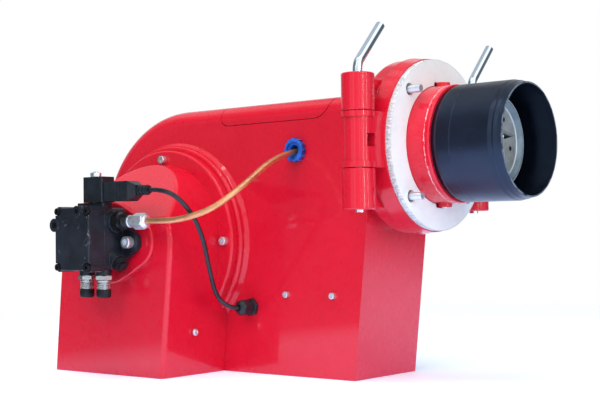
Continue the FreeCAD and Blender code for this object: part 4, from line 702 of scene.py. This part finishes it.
def nipples(look, cap_look):
    b = Builder()
    y = middle("pump_nipples", 1)
    top = high_end("pump_nipples", 2)
    bottom = low_end("pump_nipples", 2)
    washer = [(0, 7.8), (0, 9.0), (0.5, 9.4), (1.7, 9.4), (2.1, 9.0), (2.1, 7.8)]
    core = [(0, 7.4), (0.5, 7.9), (top - bottom - 5, 7.9)]
    for node, twist in (("suction_cap", 0.3), ("return_cap", 0.9)):
        x = middle(node, 0)
        rim = high_end(node, 2)
        b.hexagon(NIPPLE_FLATS, NIPPLE_NUT_HEIGHT, (x, y, top - NIPPLE_NUT_HEIGHT), Z, twist=twist)
        b.turned(washer, (x, y, top - 9.0), Z)
        b.thread(NIPPLE_RADIUS, top - 9.6 - rim, NIPPLE_PITCH, (x, y, rim + 0.3), Z,
                 depth=1.0, segments=48)
        b.turned(core, (x, y, bottom + 0.1), Z)
    settle(b.make("nipples_threaded", look, 40), "housing", "pump_nipples")
    r = CAP_RADIUS
    h = CAP_HEIGHT
    cap = [(0.0, r - 5), (0.0, r - 2.5), (0.35, r - 1.4), (1.2, r - 0.6), (3.0, r - 0.15),
           (6.0, r - 0.05), (h - 0.8, r), (h - 0.2, r - 0.2), (h, r - 0.6), (h, r - 1.2),
           (4.0, r - 1.3), (3.8, r - 2.5)]

    def ribbed(angle, along, radius):
        if radius < CAP_RADIUS - 0.7 or along < 1.2:
            return radius
        return radius - 0.35 * (0.5 + 0.5 * math.cos(angle * CAP_RIBS)) ** 3

    for node, body in (("suction_cap", "suction_plug"), ("return_cap", "return_plug")):
        c = Builder()
        c.turned(cap, (middle(node, 0), y, low_end(node, 2)), Z, 144, ribbed)
        settle(c.make(node + "_ribbed", cap_look, 50), body, node)


def unions(look, dark):
    # the pipe's union at the pump with its neck rings, the nut at the nozzle line, and the
    # black adapter
    start = low_end("pipe_unions", 0)
    end = high_end("pipe_unions", 0)
    y = middle("outlet_adapter", 1)
    z = middle("outlet_adapter", 2)
    neck = [(0, 6.0), (0, 7.6), (0.6, 8.2), (2.6, 8.2), (3.2, 7.4), (5.4, 7.4), (6.0, 8.0),
            (9.4, 8.0), (9.8, 7.2), (12, 7.2)]
    mouth = [(0, 8.7), (1.2, 8.4), (2.8, 6.4), (3.2, 4.6), (3.2, 0.5)]
    b = Builder()
    b.turned(neck, (start, y, z), X)
    b.hexagon(UNION_FLATS, UNION_LENGTH, (start + 11.2, y, z), X, twist=0.15)
    b.turned(mouth, (start + 30.1, y, z), X)
    b.hexagon(LINE_NUT_FLATS, LINE_NUT_LENGTH, (end - 14.0, 0, 0), X, bore=LINE_NUT_BORE)
    settle(b.make("unions_turned", look, 30), "housing", "pipe_unions")
    start = low_end("outlet_adapter", 0)
    ring = [(0, 9.4), (0, 10.6), (1.6, 11.2), (3.2, 11.2), (3.4, 10.4)]
    a = Builder()
    a.hexagon(ADAPTER_FLATS, ADAPTER_NUT_LENGTH, (start, y, z), X, twist=0.2)
    a.turned(ring, (start + 11.6, y, z), X)
    a.thread(9.0, 10.0, 1.2, (start + 13.8, y, z), X, depth=0.5)
    settle(a.make("adapter_turned", dark, 30), "housing", "outlet_adapter")


def coil_nut(look):
    # low hexagon nut on its washer, with the end of the stem showing in its middle
    b = Builder()
    x = middle("solenoid_nut", 0)
    y = middle("solenoid_nut", 1)
    foot = low_end("solenoid_nut", 2)
    b.turned([(0, 5.0), (0, 7.0), (0.5, 7.2), (1.0, 7.2), (1.2, 6.6)], (x, y, foot), Z)
    b.hexagon(COIL_NUT_FLATS, COIL_NUT_HEIGHT, (x, y, foot + 1.0), Z, twist=0.5)
    b.turned([(0, 3.4), (1.0, 3.4), (1.5, 2.9), (1.5, 0.3)], (x, y, foot + 6.0), Z)
    settle(b.make("coil_nut", look, 30), "housing", "solenoid_nut")


def gland(look):
    # lock nut, thin collar and a ribbed dome nut with six flats
    b = Builder()
    outward = (0, -1, 0)
    x = middle("cable_gland", 0)
    z = middle("cable_gland", 2)
    wall = low_end("cable_gland", 1) + GLAND_LENGTH
    dome = [(0, 8.6), (0.3, 9.6), (1.2, GLAND_RADIUS), (12.0, GLAND_RADIUS), (14.5, 10.2),
            (15.8, 9.3), (17.6, 8.0), (19.2, 6.2), (19.6, 4.6), (19.0, 3.4), (15.0, 3.2)]

    def flats(angle, along, radius):
        if along < 0.5 or along > 15.5:
            return radius
        across = hexagon_radius(angle, GLAND_FLATS / 2)
        wavy = GLAND_RADIUS - 0.25 * (0.5 + 0.5 * math.cos(angle * GLAND_RIBS)) ** 2
        return min(across, wavy, radius + 1.2)

    b.hexagon(LOCK_NUT_FLATS, 5.6, (x, wall - 0.2, z), outward)
    b.turned([(0, 8.0), (0, 9.3), (3.6, 9.3), (3.6, 8.0)], (x, wall - 5.8, z), outward)
    b.turned(dome, (x, wall - 9.2, z), outward, 144, flats)
    settle(b.make("gland_moulded", look, 40), "housing", "cable_gland")


def pivot_screw(look):
    # round end of the damper's shaft on the hood's side, with a hollow centre
    b = Builder()
    place = (high_end("damper_flap", 0) + 4.2, middle("damper_flap", 1), middle("damper_flap", 2))
    rows = [(0, 4.6), (0.6, 5.0), (2.0, 5.0), (3.2, 4.2), (3.6, 2.6), (3.2, 2.4), (2.6, 2.3),
            (2.5, 0.3)]
    b.turned(rows, place, (1, 0, DAMPER_TILT))
    settle(b.make("pivot_screw", look, 40), "housing")


def tube_weld(look):
    # weld bead round the tube where its collar end is joined to the barrel
    count = 360
    rings = []
    for along, lift in ((-1.1, -0.15), (-0.6, 0.12), (0.0, 0.22), (0.6, 0.10), (1.1, -0.15)):
        ring = []
        for k in range(count):
            angle = 2 * math.pi * k / count
            y = math.cos(angle)
            z = math.sin(angle)
            wobble = 0.5 * noise.noise(Vector((y * 3, z * 3, 0.5)))
            bead = 0.05 * math.sin(angle * WELD_BEADS)
            radius = WELD_RADIUS + lift + (bead if lift > 0 else 0)
            ring.append((WELD_X + along + wobble, radius * y, radius * z))
        rings.append(ring)
    b = Builder()
    b.skin(rings, close=False)
    settle(b.make("tube_weld_bead", look, 60), "head")


def gasket(look):
    # board cut with a saw: a ragged rim, plain holes and room for the set-screw bosses
    random.seed(7)
    curve = bpy.data.curves.new("gasket_cut", "CURVE")
    curve.dimensions = "2D"
    curve.fill_mode = "BOTH"
    curve.extrude = GASKET_HALF_THICKNESS * MM
    curve.bevel_depth = 0.2 * MM
    curve.bevel_resolution = 1

    def loop(points):
        line = curve.splines.new("POLY")
        line.points.add(len(points) - 1)
        for spot, (a, b) in zip(line.points, points):
            spot.co = (a * MM, b * MM, 0, 1)
        line.use_cyclic_u = True

    outer = []
    for k in range(900):
        angle = 2 * math.pi * k / 900
        tooth = 0.22 * math.sin(angle * GASKET_TEETH) + random.uniform(-0.20, 0.14)
        radius = GASKET_RADIUS + tooth
        outer.append((radius * math.cos(angle), radius * math.sin(angle)))
    loop(outer)
    inner = []
    for k in range(360):
        angle = 2 * math.pi * k / 360
        y = math.cos(angle)
        z = math.sin(angle)
        radius = GASKET_BORE
        if abs(y * BOSS_RADIUS) < BOSS_NOTCH_HALF_WIDTH:
            radius = min(BOSS_NOTCH_RADIUS, BOSS_NOTCH_HALF_WIDTH / max(abs(y), 0.001))
        inner.append((radius * y, radius * z))
    loop(inner)
    turns = [a * math.pi / 20 for a in range(40)]
    hole = [(BOLT_HOLE_RADIUS * math.cos(a), BOLT_HOLE_RADIUS * math.sin(a)) for a in turns]
    for degrees in (45, 135, 225, 315):
        y = BOLT_CIRCLE_RADIUS * math.cos(math.radians(degrees))
        z = BOLT_CIRCLE_RADIUS * math.sin(math.radians(degrees))
        loop([(y + a, z + b) for a, b in hole])
    holder = bpy.data.objects.new("gasket_cut", curve)
    bpy.context.scene.collection.objects.link(holder)
    bpy.context.view_layer.update()
    graph = bpy.context.evaluated_depsgraph_get()
    flat = bpy.data.meshes.new_from_object(holder.evaluated_get(graph))
    # the cut lies flat; its x, y and z become the burner's y, z and x
    points = [(v.co.z + GASKET_MIDDLE_X * MM, v.co.x, v.co.y) for v in flat.vertices]
    faces = [tuple(p.vertices) for p in flat.polygons]
    bpy.data.objects.remove(holder)
    made = to_object("gasket_sawn", points, faces, look, 30)
    settle(made, "head", "flange_gasket")


# Floor and light

def add_floor():
    bpy.ops.mesh.primitive_circle_add(vertices=96, radius=6, fill_type="NGON", location=FLOOR_PLACE)
    floor = bpy.context.object
    floor.name = "studio_floor"
    look = bpy.data.materials.new("floor_pale")
    look.use_nodes = True
    g = Graph(look.node_tree)
    base = look.node_tree.nodes["Principled BSDF"].inputs
    base["Base Color"].default_value = (0.84, 0.88, 0.96, 1)
    base["Roughness"].default_value = 0.55
    base["Emission Strength"].default_value = 1.0
    rays = g.add("ShaderNodeLightPath").outputs
    # what the object gets from it is bluer than what the camera sees
    bounced, seen = (0.15, 0.28, 0.64), (0.22, 0.27, 0.35)
    g.link(g.color_mix(rays["Is Camera Ray"], bounced, seen), base["Emission Color"])
    # it fades into the white round it, and its left part is shorter for what shines in the hood
    length = g.add("ShaderNodeVectorMath", operation="LENGTH")
    g.link(g.place, length.inputs[0])
    fade = g.ramp(length.outputs["Value"], 0.8, 1.7, 1.0, 0.0)
    lost = g.product(g.ramp(g.axis("X"), -0.30, -0.55), rays["Is Glossy Ray"])
    kept = g.math("SUBTRACT", fade, lost)
    kept.node.use_clamp = True
    g.link(kept, base["Alpha"])
    floor.data.materials.append(look)


def add_room():
    world = bpy.data.worlds.new("studio")
    world.use_nodes = True
    g = Graph(world.node_tree, "Generated")
    rays = g.add("ShaderNodeLightPath").outputs

    def background(node, color, strength):
        node.inputs["Color"].default_value = (*color, 1)
        node.inputs["Strength"].default_value = strength
        return node

    def choose(ray, otherwise, chosen):
        node = g.add("ShaderNodeMixShader")
        g.link(rays[ray], node.inputs["Fac"])
        g.link(otherwise.outputs[0], node.inputs[1])
        g.link(chosen.outputs[0], node.inputs[2])
        return node

    white = background(world.node_tree.nodes["Background"], (1, 1, 1), 1.0)
    fill = background(g.add("ShaderNodeBackground"), (0.90, 0.94, 1.0), 0.42)
    room = background(g.add("ShaderNodeBackground"), (0.90, 0.95, 1.0), 1.0)
    # what shines in glossy faces: dark at the horizon, light overhead
    rise = g.add("ShaderNodeValToRGB")
    steps = rise.color_ramp.elements
    steps[0].color = (0.14, 0.14, 0.14, 1)
    steps[1].color = (0.62, 0.62, 0.62, 1)
    for height, level in ((0.45, 0.24), (0.70, 0.50)):
        steps.new(height).color = (level, level, level, 1)
    g.link(g.axis("Z"), rise.inputs["Fac"])
    strength = rise.outputs["Color"]
    # pale walls: behind the object, to its right, one that only round bright parts mirror, and
    # one above
    for direction, outside, inside, level in (
            ((-0.65, 0.75, 0.0), 0.62, 0.92, 0.85),
            ((0.94, 0.34, 0.0), 0.86, 0.97, 0.90),
            ((0.62, -0.78, 0.1), 0.30, 0.65, 1.0),
            ((0.63, -0.02, 0.78), 0.80, 0.93, 1.3)):
        toward = g.add("ShaderNodeVectorMath", operation="DOT_PRODUCT")
        toward.inputs[1].default_value = direction
        g.link(g.place, toward.inputs[0])
        wall = g.ramp(toward.outputs["Value"], outside, inside, 0.0, level)
        strength = g.math("MAXIMUM", strength, wall)
    # soft light and dark patches that streak along round bright metal
    squeezed = g.stretched((2.4, 2.4, 0.7))
    uneven = g.patches(1.6, 1.0, 0.42, 0.58, 0.55, 1.45, rough=0.5, where=squeezed)
    g.link(g.product(strength, uneven), room.inputs["Strength"])
    seen = choose("Is Camera Ray", choose("Is Glossy Ray", fill, room), white)
    g.link(seen.outputs[0], world.node_tree.nodes["World Output"].inputs["Surface"])
    bpy.context.scene.world = world


def add_lamps():
    # wide boxes light the object; the narrow strips that shine draw thin highlights on its
    # round edges
    for name, place, aim, size, power, shines in (
            ("softbox_top", (-0.5, -0.3, 1.9), (-0.3, 0, -0.1), (2.2, 1.4), 34, False),
            ("softbox_key", (0.4, -2.3, 1.4), (-0.3, -0.1, -0.1), (1.8, 1.1), 38, False),
            ("softbox_right", (2.1, -0.7, 0.5), (-0.1, 0, -0.1), (1.1, 1.2), 17, False),
            ("strip_right", (2.0, -0.75, 0.25), (-0.05, -0.1, 0), (0.06, 1.3), 5.5, True),
            ("strip_far", (1.7, 0.15, 0.3), (-0.05, -0.1, 0), (0.05, 1.2), 2.5, True),
            ("strip_left", (-0.7, -2.4, 0.2), (-0.3, -0.1, -0.1), (0.06, 1.2), 2.2, False),
            ("strip_top", (0.2, -0.7, 1.7), (-0.2, -0.1, 0), (1.6, 0.10), 4.0, True)):
        light = bpy.data.lights.new(name, "AREA")
        light.shape = "RECTANGLE"
        light.size, light.size_y = size
        light.energy = power
        lamp = bpy.data.objects.new(name, light)
        lamp.location = place
        lamp.rotation_euler = (Vector(aim) - Vector(place)).to_track_quat("-Z", "Y").to_euler()
        lamp.visible_glossy = shines
        bpy.context.scene.collection.objects.link(lamp)


add_camera()
add_floor()
add_room()
add_lamps()
bpy.context.scene.view_settings.view_transform = "Standard"
look_of = dress()
solenoid_cord(look_of["solenoid_lead"])
threaded_studs(look_of["boiler_studs"])
nipples(look_of["pump_nipples"], look_of["suction_cap"])
unions(look_of["pipe_unions"], look_of["outlet_adapter"])
coil_nut(look_of["solenoid_nut"])
gland(look_of["cable_gland"])
pivot_screw(look_of["hood_screws"])
tube_weld(look_of["flame_tube"])
gasket(look_of["flange_gasket"])
